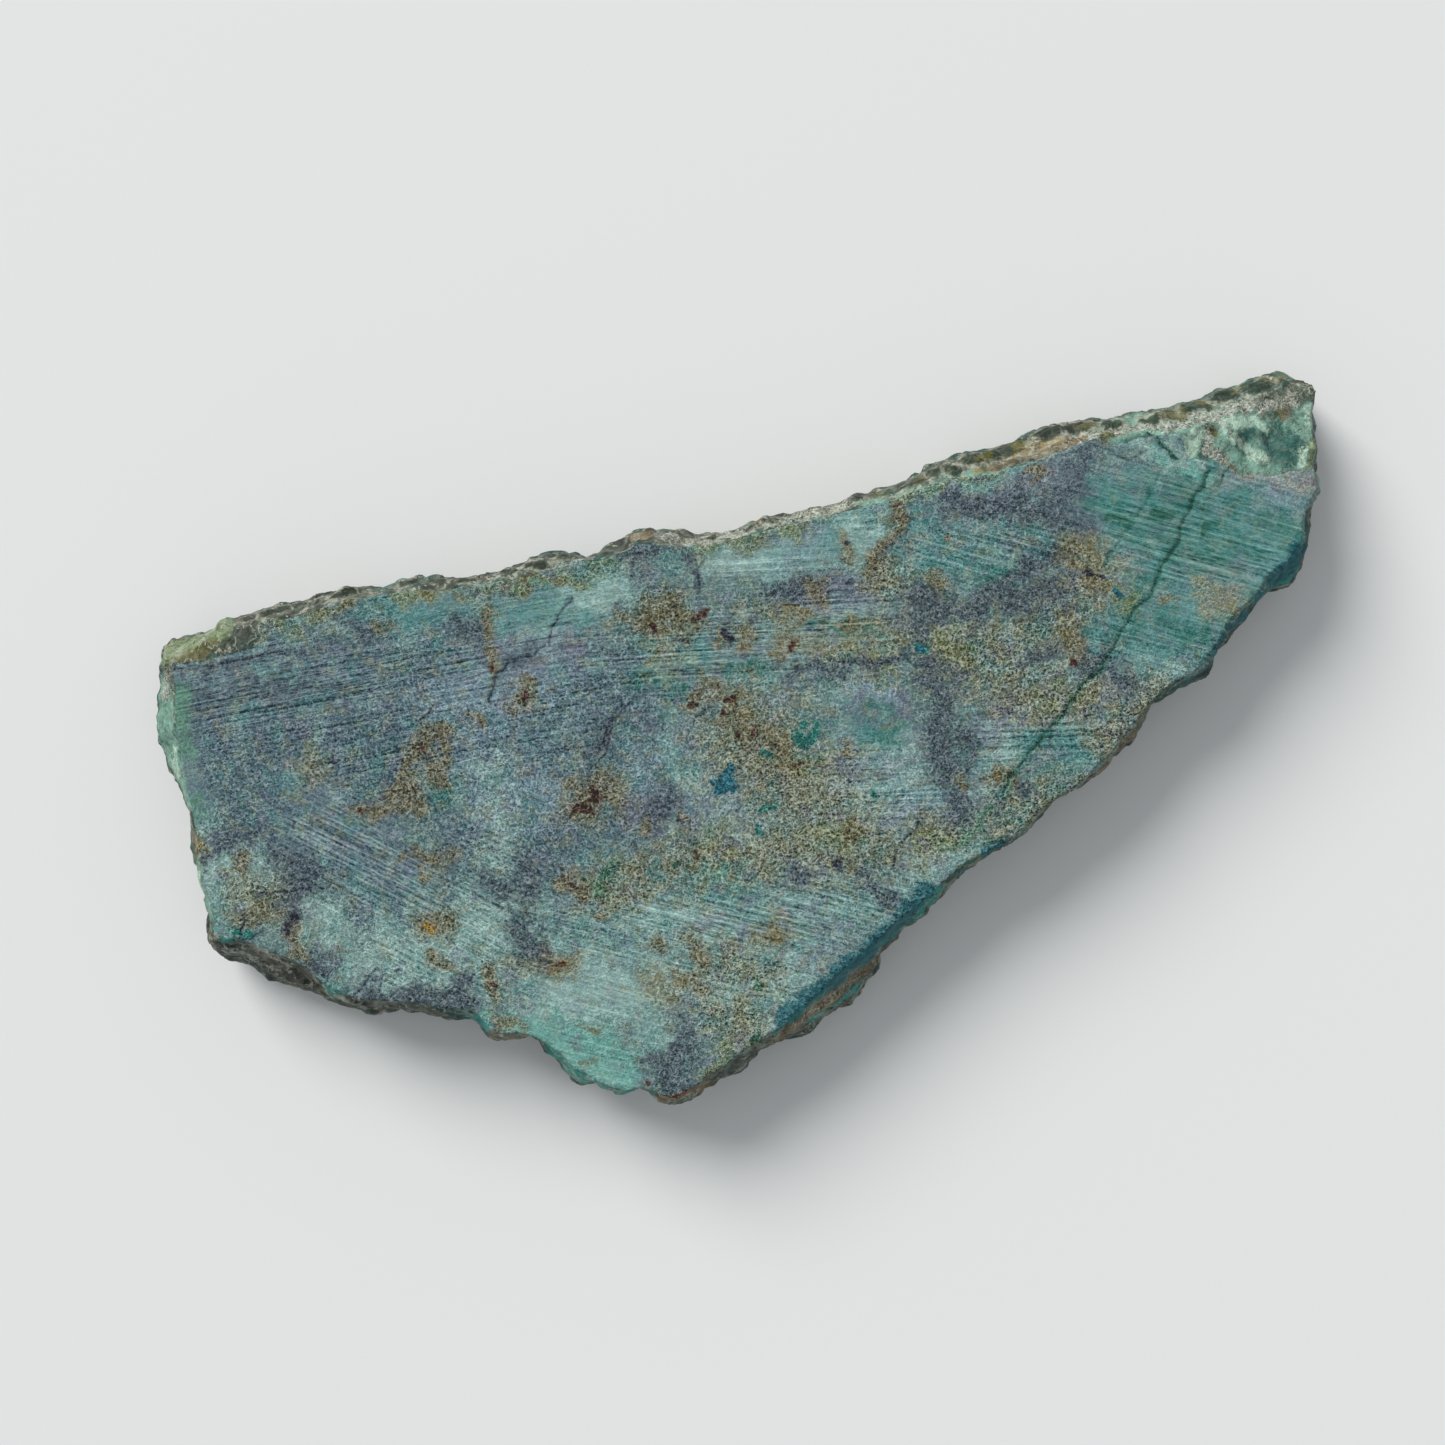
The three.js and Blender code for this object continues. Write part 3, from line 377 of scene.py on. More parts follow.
# Stone with little grain, stone whose saw lines stand out, and edges where bare stone shows beside the face.
SMOOTH = [
    (5.5, (31, 12.5), (39, 9)), (2.4, (29, 5), (36, 5.4)), (1.2, (-43.2, 17), (-43.3, 8)),
    (1.5, (-2, 16.4), (9, 16)), (1.5, (-17, 16.8), (-10, 16.2)), (1.3, (-24.5, 18.2), (-21, 18.6)),
    (2.2, (-22.5, -14.5), (-17.5, -18.5)), (2.2, (-20, -11.5), (-14, -13)),
]
LINED = [
    (2.6, (-42, 16.2), (-29, 15.2)), (1.8, (-22, 13), (-14, 13.5)), (2.4, (-35, 6), (-29, 0)),
    (1.2, (-8, -10), (-2, -10.6)), (1.3, (6, 2.6), (8.6, 1.4)), (1.6, (31, 9.4), (40, 6.6)),
    (2, (27, 15), (36, 11)), (1.8, (0, 10.6), (8, 9.6)), (1.4, (-7, 10.8), (-2, 9.6)),
]
BARE = [
    (1.9, (44, 11.6), (43.2, 8.6), (40.6, 5.2), (37.5, 3.2), (33, 1)),
    (0.7, (33, 1), (28, -1.6), (20, -6.4), (13.5, -9.6)),
]

# Kinds of natural skin, by where round the edge each one lies. Elsewhere the skin is crust with its patches.
SKIN = {
    "skin_brown": [
        (0.6, (-9.2, 19.9), (-7.8, 20)),
        (0.8, (-37.2, 21.9), (-34, 21.5), (-28.6, 21.7), (-24, 21.2), (-19.4, 20.5)),
        (0.8, (-19.4, 20.4), (-14, 20.3), (-9, 20.6)), (0.6, (-9, 20.8), (-3, 19.9)),
        (0.7, (-2.4, 19.6), (5.6, 20), (10, 20)), (1.1, (10, 20), (18, 20.5), (27, 20.9)),
        (0.8, (27, 21.1), (33, 20.8), (37, 20.7)),
        (1.2, (-44.6, -1.6), (-43.8, -3.6), (-41.6, -5), (-39.4, -6.4), (-37, -8.4), (-34, -10)),
    ],
    "skin_mint": [
        (1.1, (-44.1, 17.2), (-44.6, 14), (-44.4, 9)), (0.7, (-44.3, 4), (-44.5, 0.4)),
        (2.6, (31.4, 18.4), (38, 16.8), (42, 15.2)), (1.2, (44, 17), (43.4, 12.4)),
        (0.4, (10, 18.8), (15, 18.7)), (0.45, (16, 18.9), (21, 18.7)),
    ],
    "skin_sea": [
        (1, (41.2, 16.4), (41.6, 14.9)), (0.6, (43.2, 14.9), (42.6, 15.8)),
        (0.7, (33.6, 16), (34.8, 15)), (0.5, (32.2, 18.4), (32.9, 16.8)),
        (0.6, (38.6, 16.6), (39.4, 17)), (0.5, (36, 16.6), (35.6, 15.6)),
        (0.45, (30.4, 18.6), (31.8, 18)), (1, (12, -9.8), (15, -8.6)),
        (1.6, (31, 0.4), (38, 4.2), (42, 8.6)), (0.35, (13.4, 20.5), (15, 20.6)),
        (0.7, (38, 20.2), (43, 20.2)), (0.7, (-38, -8.2), (-35, -10)),
        (0.5, (-27.4, -12.6), (-25.6, -12.2)),
    ],
    "skin_lagoon": [
        (0.5, (-43.6, -0.9), (-43.4, -1.6)), (0.4, (-37.1, -7), (-36.4, -7.9)),
        (1.8, (-26.5, -13), (-22, -16.5), (-17, -21)),
        (0.5, (9.2, -10.6), (6, -12.6), (2.6, -14.5), (-1, -16.2), (-5, -18)),
        (0.35, (1.6, -16.8), (-2.4, -18.2)), (0.6, (40.8, 6.2), (39.2, 5.2)),
        (0.4, (37.9, 4.7), (37.2, 4.4)),
    ],
    "skin_bright": [
        (0.6, (34.6, 16.6), (35.6, 17.8)), (0.5, (37.8, 18.2), (39.4, 17.8)),
        (0.35, (38, 17.4), (38.8, 16.2)), (0.45, (39.2, 15.6), (40.2, 15)),
        (0.35, (43.2, 15), (42.4, 13.2)), (0.35, (44.3, 17.8), (44.1, 16.6)),
        (0.3, (40.3, 18), (41, 16.9)), (0.3, (33.2, 17.6), (33.4, 16.4)),
        (0.4, (-44.3, 12.8), (-44.6, 11)), (0.4, (-44.5, 3.2), (-44.7, 1.6)),
    ],
    "skin_moss": [
        (1.1, (-42.8, 20.1), (-38.6, 20.6)), (0.45, (12, -9.6), (20, -6.2)),
        (0.5, (24, -4.2), (29, -1.2)), (0.4, (42.6, 12.8), (43.6, 13.6)),
        (0.5, (43.6, 13.4), (44.2, 15)),
    ],
    "skin_chalk": [
        (0.4, (-5, 20.1), (-4.2, 19.6)), (0.5, (36.2, 16.4), (37, 15.6)),
        (0.4, (36.6, 18), (36.2, 16.6)), (0.5, (33.6, 19), (37, 18.9), (40, 19)),
        (0.4, (41, 18.7), (43.6, 18.8)), (0.45, (-43.2, 18.4), (-43.9, 17)),
        (0.12, (-41.6, -2.3), (-40.6, -3.6), (-39.9, -4.6), (-39.7, -5.1)),
        (0.12, (-43.9, -2.6), (-42.4, -3.8), (-40.6, -5.2)), (0.14, (-19, 19.7), (-15.4, 19.7)),
        (0.2, (-13.8, 19.2), (-10.4, 19.4)), (0.35, (-3, 18.8), (1.4, 18.8)),
        (0.35, (3, 18.8), (10, 19)), (0.3, (26, 19.5), (33, 19.4)), (0.2, (2, -15.6), (-4, -18.4)),
    ],
    "skin_green": [  # the dark green knobs, which also stand proud
        (0.34, (9.7, 19.2), (10.1, 19.2)), (0.39, (10.9, 19.35), (11.4, 19.35)),
        (0.29, (12, 19.1), (12.6, 19.1)), (0.59, (13.7, 19.5), (14.9, 19.45)),
        (0.37, (16, 19.7), (16.3, 19.5)), (0.49, (17.3, 19.6), (17.4, 19.3)),
        (0.51, (18.6, 20), (19.4, 19.9)), (0.41, (20.2, 19.9), (20.8, 19.7)),
        (0.66, (21.7, 20.2), (22.8, 20.2)), (0.59, (24.8, 20.5), (25.6, 20.7)),
        (0.44, (26.9, 20.5), (28.2, 20.4)), (0.39, (29.4, 20), (30.4, 19.9)),
        (0.41, (32.4, 20), (33.4, 19.9)), (0.51, (35.8, 19.9), (37.2, 20)),
        (0.56, (38.6, 20.3), (39.8, 20.4)), (0.63, (41, 20.4), (42.2, 20.4)),
        (0.3, (-20.2, 20.1), (-19.2, 20)), (0.36, (-17, 19.9), (-16, 19.8)),
        (0.38, (-14.8, 19.9), (-13.9, 19.8)), (0.36, (-12.6, 20), (-11.6, 20.1)),
        (0.24, (-1.6, 18.9), (-0.8, 18.95)), (0.22, (1.2, 18.9), (1.8, 18.9)),
        (0.26, (3, 19.1), (3.8, 19.1)), (0.26, (6.2, 19.2), (7, 19.3)),
        (0.32, (-35.2, 21.1), (-33.6, 21.1)), (0.28, (-32.2, 21.2), (-31.2, 21.2)),
        (0.26, (-30, 21.3), (-28.6, 21.3)), (0.28, (-27.4, 21.3), (-26.2, 21.2)),
        (0.28, (-24.8, 21), (-23.6, 20.9)), (0.3, (-22.6, 20.7), (-21.4, 20.4)),
        (0.5, (-45, -0.2), (-45.2, -1.6)), (0.5, (-37.4, -8.3), (-35.6, -9.4)),
    ],
    "skin_olive": [
        (0.5, (34, 19.9), (35.2, 19.6)), (0.35, (36.8, 20.4), (37.6, 20.3)),
        (0.35, (42.3, 20.9), (43.4, 20.5)), (0.4, (-42.4, 19.2), (-40.2, 19.3), (-39.2, 19.9)),
        (0.3, (28.6, 19.3), (29.4, 19.3)), (0.3, (42.2, 18), (42.8, 18.2)),
        (0.3, (37, 17.4), (36.8, 18)), (0.3, (14.4, 19.5), (15.2, 19.4)),
        (0.26, (19.4, 19.8), (20.3, 19.7)), (0.34, (22.6, 20.1), (24, 20.3)),
        (0.26, (27.4, 20.4), (28.6, 20.3)), (0.24, (11.3, 19.3), (12.1, 19.1)),
        (0.22, (39.8, 20.6), (40.8, 20.7)),
    ],
    "skin_gold": [
        (0.22, (21.2, 19.2), (22.4, 19.5), (24, 19.7), (25.9, 19.9)),
        (0.16, (19, 19), (21, 19)), (0.25, (-14.8, -21), (-12.6, -20.9)),
    ],
    "skin_tan": [
        (0.3, (-7, 20.5), (-5.6, 20.4)), (0.3, (20.4, 19), (23, 19.2), (27.4, 19.6)),
        (0.3, (36.6, 15.2), (37.4, 14.6)), (0.45, (5.4, -14.1), (2, -15.6), (-2, -17.4), (-5, -18.9)),
        (0.6, (28, -1.9), (22, -5.9)), (0.5, (-15, -21.2), (-11, -21)), (0.3, (-44.2, 5.8), (-44.1, 4.6)),
        (0.5, (-26, -13.6), (-23.6, -14.2)), (0.3, (42.4, 17.4), (43, 18.2)), (0.3, (-0.8, 19.2)),
        (0.3, (5.4, 19.3)), (0.3, (2.4, 19.1)),
    ],
}


# ---------------------------------------------------------------- settings


def length(name, description, millimetres, low, high):
    """A length setting, in metres, from a default and limits in millimetres."""
    return bpy.props.FloatProperty(
        name=name,
        description=description,
        default=millimetres * MM,
        min=low * MM,
        max=high * MM,
        precision=5,
        subtype="DISTANCE",
        unit="LENGTH",
    )


def angle(name, description, degrees, low, high):
    """An angle setting, in radians, from a default and limits in degrees."""
    return bpy.props.FloatProperty(
        name=name,
        description=description,
        default=math.radians(degrees),
        min=math.radians(low),
        max=math.radians(high),
        subtype="ANGLE",
        unit="ROTATION",
    )


def number(name, description, value, low, high, **more):
    return bpy.props.FloatProperty(
        name=name, description=description, default=value, min=low, max=high, **more
    )


def colour(name, description, *value):
    return bpy.props.FloatVectorProperty(
        name=name, description=description, subtype="COLOR", size=3, min=0, max=1, default=rgb(*value)
    )


class TurquoiseShape(bpy.types.PropertyGroup):
    """Sizes of the stone's fine relief."""

    face_size: length("Face size", "Size of the mesh's faces", 0.25, 0.2, 1)
    groove_depth: length("Groove depth", "Depth of the broad saw grooves", 0.035, 0, 0.2)
    groove_pitch: length("Groove pitch", "Distance between the broad saw grooves", 1.15, 0.8, 4)
    lump_height: length("Lump height", "Height of the small lumps of the skin", 0.20, 0, 1)
    lump_size: length("Lump size", "Size of the small lumps of the skin", 2.2, 0.8, 5)
    grit_height: length("Grit height", "Height of the skin's grit", 0.08, 0, 0.5)
    facet_size: length("Facet size", "Size of the broken facets of the skin", 2.6, 0.8, 8)
    facet_slope: number("Facet slope", "How steep the broken facets of the skin are", 0.13, 0, 1)
    knob_height: length("Knob height", "How far the dark knobs of the long edge stand out", 0.28, 0, 1)
    pluck_depth: length("Pluck depth", "Depth of the pits in the grainy parts of the face", 0.05, 0, 0.3)
    crack_depth: length("Crack depth", "Depth of the crack", 0.06, 0, 0.5)
    face_count: bpy.props.IntProperty(
        name="Triangles",
        description="Triangles left after the back is thinned",
        default=197500,
        min=20000,
        max=199000,
    )


class TurquoiseColours(bpy.types.PropertyGroup):
    """Colours of the stone, the first one lying under all the others."""

    ground: colour("Ground", "Grey-green turquoise under everything", 105, 130, 129)
    slate: colour("Slate", "Blue-grey of the broad end", 86, 108, 119)
    blush: colour("Blush", "Pinkish grey bands", 138, 126, 112)
    lavender: colour("Lavender", "Lilac-grey patches", 108, 113, 130)
    bluegrey: colour("Blue-grey", "Pale blue-grey patches", 126, 150, 162)
    water: colour("Water", "Light blue-green stone", 118, 155, 151)
    teal: colour("Teal", "Blue-green stone", 78, 131, 129)
    deep: colour("Deep teal", "Dark blue-green stone", 42, 104, 94)
    pale: colour("Pale", "Pale turquoise", 148, 178, 172)
    turquoise: colour("Turquoise", "Bright turquoise of the lower point", 108, 162, 152)
    olive: colour("Olive", "Grainy olive-grey stone", 136, 137, 110)
    moss: colour("Moss", "Yellow-green bands", 130, 140, 92)
    vein: colour("Vein", "Dark slate veins", 79, 92, 100)
    ochre: colour("Ochre", "Brown iron stain", 121, 114, 84)
    rust: colour("Rust", "Dark red cores of the stain", 70, 34, 22)
    amber: colour("Amber", "Orange cores of the stain", 160, 126, 34)
    ink: colour("Ink", "Blue-black spots", 30, 36, 56)
    copper: colour("Copper", "Blue-green copper specks", 12, 98, 112)
    jade: colour("Jade", "Green-blue specks", 16, 112, 104)
    fern: colour("Fern", "Dark green specks", 30, 84, 70)
    strip: colour("Strip", "Deep blue-green strips along the edges", 20, 90, 98)
    green: colour("Green", "Green patches", 88, 132, 110)
    crack: colour("Crack", "The dark crack", 36, 76, 68)
    crust: colour("Crust", "Dark brown-green skin", 68, 78, 68)
    skin_brown: colour("Brown skin", "Dark brown rim", 50, 52, 44)
    skin_mint: colour("Mint skin", "Pale green skin", 114, 154, 138)
    skin_sea: colour("Sea-green skin", "Dark blue-green skin", 34, 84, 78)
    skin_lagoon: colour("Lagoon skin", "Bright blue-green skin", 44, 138, 130)
    skin_bright: colour("Bright skin", "Palest green skin", 168, 196, 178)
    skin_moss: colour("Moss skin", "Yellow-green skin", 116, 134, 98)
    skin_chalk: colour("Chalky skin", "Whitish skin", 148, 152, 142)
    skin_green: colour("Green skin", "Dark green lumps", 24, 44, 26)
    skin_olive: colour("Olive skin", "Dark olive spots", 84, 82, 34)
    skin_gold: colour("Gold skin", "Streaks of ochre in the skin", 138, 110, 40)
    skin_tan: colour("Tan skin", "Brown skin", 110, 98, 76)
    # Pale stone dust, partly a painted highlight on the highest grains.
    dust_and_painted_highlight: colour("Dust", "Pale stone dust on the highest grains", 176, 186, 184)
    crease: colour("Crease", "Pale mineral in the skin's creases", 158, 160, 144)
    shadow: colour("Shadow", "Darkest parts of the skin", 36, 42, 38)


class TurquoiseStage(bpy.types.PropertyGroup):
    """The floor, the lights and the camera."""

    floor_colour: colour("Floor", "Colour of the floor", 232, 233, 233)
    backdrop: colour("Backdrop", "Colour seen past the floor", 224, 226, 226)
    key_power: number("Key light", "Strength of the key light", 2.9, 0, 20)
    key_side: angle(
        "Key side", "Where the key light stands, anticlockwise from the picture's right", 130, -180, 360
    )
    key_rise: angle("Key height", "How high the key light stands", 36, 1, 90)
    key_spread: angle("Key spread", "How wide the key light looks from the stone", 32, 1, 90)
    fill_power: number("Fill light", "Strength of the light from all round", 0.42, 0, 10)
    lens: number(
        "Lens", "Focal length of the camera", 60, 20, 200, subtype="DISTANCE_CAMERA", unit="CAMERA"
    )
    frame_width: length("Frame width", "Width of the picture at the sawn face", 107.25, 50, 400)
    turn: angle("Turn", "How far the picture turns the long edge", 13.5, -180, 180)


# ---------------------------------------------------------------- shape

TOP = CAD_BOX[1][2] / MM

# Spans, from where something is none to where it is full.
FACING_SPAN = (0.6, 0.95)  # how squarely the sawn face and the back face up or down
SAWN_DEPTHS = (0.42, 0.20)  # how far under the top the sawn face lies
MISSED_RISES = (0.32, 0.16)  # how much less that is where the saw just missed
BACK_SPAN = (0.30, 0.12)  # how high the sawn back lies
RIM_SPAN = (0.12, 0.42)  # how far the skin faces up where the colours of its upper edge show
UPPER_DEPTHS = (3.6, 1.6)  # how far under the top the colours of the upper edge reach
BARE_DEPTHS = (1.9, 0.9)  # how far under the top bare stone shows beside the face
LUMP_CREASE = (0.16, 0.02)  # the height of a lump, where the crease beside it lies
SMALL_CREASE = (0.12, 0.02)
CRACK_SPAN = (0.22, 0.0)  # how far from a crack its hollow reaches
THREAD_SPAN = (0.15, 0.0)
OUTLINE_SPANS = ((0.18, 0.36), (0.62, 0.46))  # the ring round a knob, by the knob's mask

FACET_SEED = 4
FINE_REACH = 0.4  # how far from a crack, a thread or a small spot the faces are halved
KEPT = 0.02  # a mask under this counts as nothing
EDGE_SOFTENING = 1  # rounds of smoothing
RIM_SMOOTHING = 12
SMALL_LUMPS = 0.45  # the size of the small lumps, as a share of the lumps'
LUMP_MIDDLE = 0.5
SMALL_LUMP_MIDDLE = 0.4
SMALL_CREASE_SHARE = 0.5
KNOB_MIDDLE = 0.25
GRIT_SIZE = 1.1
PLUCK_SIZE = 0.9
PLUCK_SHARES = (0.25, 0.75)  # pits all over the face, and more of them in grainy stone
THREAD_DEPTH = 0.4  # the depth of a thread, as a share of the crack's

# How far places wander before the strokes are laid, by the size of the waves: for lines and for colours.
LINE_WANDER = ((1.6, 0.16), (0.6, 0.06))
COLOUR_WANDER = ((2.6, 0.55), (1.1, 0.35), (0.5, 0.16))
DEPTH_SHIFT = 2.5  # how far a colour's place shifts down the whole thickness
UPPER_WAVES = (3.5, 1.6)  # the size and height of the waves where the upper edge's colours stop

# How much each kind of stone is broken up, and how that and the strokes change the saw marks and the grain.
BROKEN = {"olive": 1.0, "ochre": 1.0, "vein": 1.0, "moss": 0.7, "slate": 0.4}
SAW_POWER = {"base": 0.85, "broken": -0.40, "smooth": -0.35, "lined": 0.55}
GRAIN_POWER = {"base": 1.0, "broken": 0.95, "vein": -0.55, "smooth": -0.50, "lined": -0.42}


def path_distance(points, path):
    """Distance from each point to an open path of one or more places."""
    places = [np.array(place, float) for place in path]
    best = np.hypot(*(points - places[0]).T)
    for start, end in zip(places, places[1:]):
        along = end - start
        share = np.clip((points - start) @ along / (along @ along), 0, 1)
        nearest = start + share[:, None] * along
        best = np.minimum(best, np.hypot(*(points - nearest).T))
    return best


def stroke_mask(points, strokes, soft=0.45, least=0.28):
    """1 well inside a stroke, a half at its edge and 0 well outside.

    The fade is soft as a share of the stroke's half width, and no less than least.
    """
    mask = np.zeros(len(points))
    for half_width, *path in strokes:
        fade = max(soft * half_width, least)
        mask = np.maximum(mask, 0.5 + (half_width - path_distance(points, path)) / (2 * fade))
    return np.clip(mask, 0, 1)


def line_distance(points, lines):
    """Distance from each point to the edge of the nearest line, less than 0 inside it."""
    return np.minimum.reduce([path_distance(points, path) - half_width for half_width, *path in lines])


def wander(points, moves):
    """Points moved about by noise. Each move is the size of its waves and how far it goes."""
    moved = points.copy()
    for number, (size, far) in enumerate(moves):
        for axis in (0, 1):
            shift = Vector((37.0 * axis, 11.0 * number, 5.0))
            spot = (Vector((x / size, y / size, 0)) + shift for x, y in points)
            moved[:, axis] += far * np.array([noise.noise(p) for p in spot]) * 2
    return moved


def smoothstep(low, high, value):
    """0 at low and 1 at high, with a smooth change between them."""
    share = np.clip((value - low) / (high - low), 0, 1)
    return share * share * (3 - 2 * share)


def fractal(points, size, octaves=4, seed=0.0):
    """Fractal noise of about -1 to 1 at each point, with features of the given size."""
    shift = Vector((seed, seed * 1.7, -seed))
    return np.array([noise.fractal(Vector(p) / size + shift, 1.0, 2.1, octaves) for p in points])


def billow(points, size, seed=0.0):
    """Rounded lumps about 0 to 1 high with sharp creases between them, at each point."""
    return np.abs(fractal(points, size, 2, seed)) * 2


def facets(points, size):
    """Height of the flat broken facets that cover a surface, at each point."""
    noise.seed_set(FACET_SEED)  # without it, noise_vector is seeded from the clock
    height = np.zeros(len(points))
    for number, point in enumerate(points):
        spot = Vector(point) / size
        centre = noise.voronoi(spot)[1][0]
        height[number] = size * (spot - centre).dot(noise.noise_vector(centre * 7.3))
    return height


def even_mesh(node, face_size):
    """A copy of the node's mesh in small even faces."""
    coarse = bpy.data.objects.new("coarse", node.data.copy())
    bpy.context.collection.objects.link(coarse)
    remesh = coarse.modifiers.new("Even faces", "REMESH")
    remesh.mode = "VOXEL"
    remesh.voxel_size = face_size
    mesh = bpy.data.meshes.new_from_object(coarse.evaluated_get(bpy.context.evaluated_depsgraph_get()))
    bpy.data.objects.remove(coarse)
    mesh.name = STONE
    mesh.materials.clear()
    return mesh


def halve_near(mesh, lines):
    """Halves the faces of the top that lie close to the lines, so that thin lines keep their edges."""
    fine = bmesh.new()
    fine.from_mesh(mesh)
    fine.verts.ensure_lookup_table()
    place = np.array([vertex.co for vertex in fine.verts]) / MM
    near = (line_distance(place[:, :2], lines) < FINE_REACH) & (place[:, 2] > TOP - 1)
    edges = [edge for edge in fine.edges if all(near[vertex.index] for vertex in edge.verts)]
    bmesh.ops.subdivide_edges(fine, edges=edges, cuts=1, use_grid_fill=True)
    fine.to_mesh(mesh)
    fine.free()


def read_vectors(collection, name):
    """A vector of each item in a collection, as the rows of an array."""
    values = np.empty(len(collection) * 3, np.float32)
    collection.foreach_get(name, values)
    return values.reshape(-1, 3).astype(float)


def neighbour_mean(mesh, values, rounds):
    """values, smoothed over the mesh by a few rounds of averaging along its edges."""
    ends = np.empty(len(mesh.edges) * 2, np.int32)
    mesh.edges.foreach_get("vertices", ends)
    a, b = ends.reshape(-1, 2).T
    count = np.bincount(a, minlength=len(values)) + np.bincount(b, minlength=len(values))
    for _ in range(rounds):
        total = np.bincount(a, values[b], len(values)) + np.bincount(b, values[a], len(values))
        values = (values + total) / (1 + count)
    return values


def saw_grooves(points, pitch):
    """Depth of the saw's broad grooves, from 0 to 1, where the saw left marks."""
    total = np.zeros(len(points))
    for number, (angle, _, strokes) in enumerate(SAW_MARKS.values()):
        turn = math.radians(angle)
        along = points @ (math.cos(turn), math.sin(turn))
        across = points @ (-math.sin(turn), math.cos(turn))
        drift = 0.35 * np.sin(along / 9 + number) + 0.2 * np.sin(along / 4.3 + across / 3)
        wave = np.sin((across + drift) * 2 * math.pi / pitch)
        swell = 0.6 + 0.4 * np.sin(across / 2.7 + along / 17 + number * 2)
        total += stroke_mask(points, strokes, soft=0.8) * (0.5 + 0.5 * wave) * swell
    return np.clip(total, 0, 1)


def sawn_masks(mesh, place, normal):
    """Where the sawn face and the sawn back lie, from 0 to 1."""
    missed = stroke_mask(place[:, :2], NATURAL)
    low, high = (TOP - depth + rise * missed for depth, rise in zip(SAWN_DEPTHS, MISSED_RISES))
    sawn = smoothstep(*FACING_SPAN, normal[:, 2]) * smoothstep(low, high, place[:, 2])
    back = smoothstep(*FACING_SPAN, -normal[:, 2]) * smoothstep(*BACK_SPAN, place[:, 2])
    return neighbour_mean(mesh, sawn, EDGE_SOFTENING), back


def skin_relief(place, settings):
    """Height of the skin's lumps, grit and facets at each place, and how far each place is in a crease."""
    lump_size = settings.lump_size / MM
    grit_height = settings.grit_height / MM
    lump = billow(place, lump_size)
    small = billow(place, lump_size * SMALL_LUMPS, seed=4)
    height = settings.lump_height / MM * (np.minimum(lump, 1) - LUMP_MIDDLE)
    height += grit_height * (np.minimum(small, 1) - SMALL_LUMP_MIDDLE)
    height += grit_height * fractal(place, GRIT_SIZE, seed=2)
    height += settings.facet_slope * facets(place, settings.facet_size / MM)
    crease = smoothstep(*LUMP_CREASE, lump) + SMALL_CREASE_SHARE * smoothstep(*SMALL_CREASE, small)
    return height, crease


def face_relief(place, settings, off_crack, off_thread):
    """Depth of the sawn face's pits, grooves, cracks and threads at each place."""
    flat = place[:, :2]
    grainy = stroke_mask(flat, LAYERS["olive"] + LAYERS["ochre"] + LAYERS["vein"], soft=0.7)
    everywhere, more = PLUCK_SHARES
    plucked = np.clip(fractal(place, PLUCK_SIZE, seed=6), 0, 1) * (everywhere + more * grainy)
    groove = saw_grooves(flat, settings.groove_pitch / MM)
    sunk = settings.pluck_depth / MM * plucked + settings.groove_depth / MM * groove
    sunk += settings.crack_depth / MM * smoothstep(*CRACK_SPAN, off_crack)
    sunk += THREAD_DEPTH * settings.crack_depth / MM * smoothstep(*THREAD_SPAN, off_thread)
    return sunk


def colour_masks(place, near_line, upper):
    """Where each layer of colour, each kind of skin and each direction of saw marks lies, by name."""
    masks = {}
    depth = DEPTH_SHIFT * smoothstep(0, TOP, TOP - place[:, 2])[:, None]
    shift = np.stack([np.sin(place[:, 1] / 3.1 + place[:, 2]), np.cos(place[:, 0] / 2.7 - place[:, 2])], 1)
    through = wander(place[:, :2] + depth * shift, COLOUR_WANDER)
    for name, strokes in LAYERS.items():
        if name in ACCENTS:
            masks[name] = upper * stroke_mask(near_line, strokes, soft=0.6, least=0.15)
        else:
            masks[name] = stroke_mask(through, strokes, soft=0.8, least=0.3)
    for name, strokes in SKIN.items():
        masks[name] = upper * stroke_mask(near_line, strokes, soft=0.5, least=0.2)
    cuts = {}
    for name, (_, _, strokes) in SAW_MARKS.items():
        cuts[name] = stroke_mask(place[:, :2], strokes, soft=0.9)
    for name, values in cuts.items():
        masks[name] = values / np.maximum(sum(cuts.values()), 1)
    smooth = stroke_mask(through, SMOOTH, soft=0.8)
    lined = stroke_mask(through, LINED, soft=0.8)
    broken = np.maximum.reduce([share * masks[name] for name, share in BROKEN.items()])
    saw = SAW_POWER["base"] + SAW_POWER["broken"] * broken
    grain = GRAIN_POWER["base"] + GRAIN_POWER["broken"] * broken + GRAIN_POWER["vein"] * masks["vein"]
    for name, power, shares in (("saw_power", saw, SAW_POWER), ("grain_power", grain, GRAIN_POWER)):
        masks[name] = power * (1 + shares["smooth"] * smooth) * (1 + shares["lined"] * lined)
    masks["smooth"] = smooth
    return masks


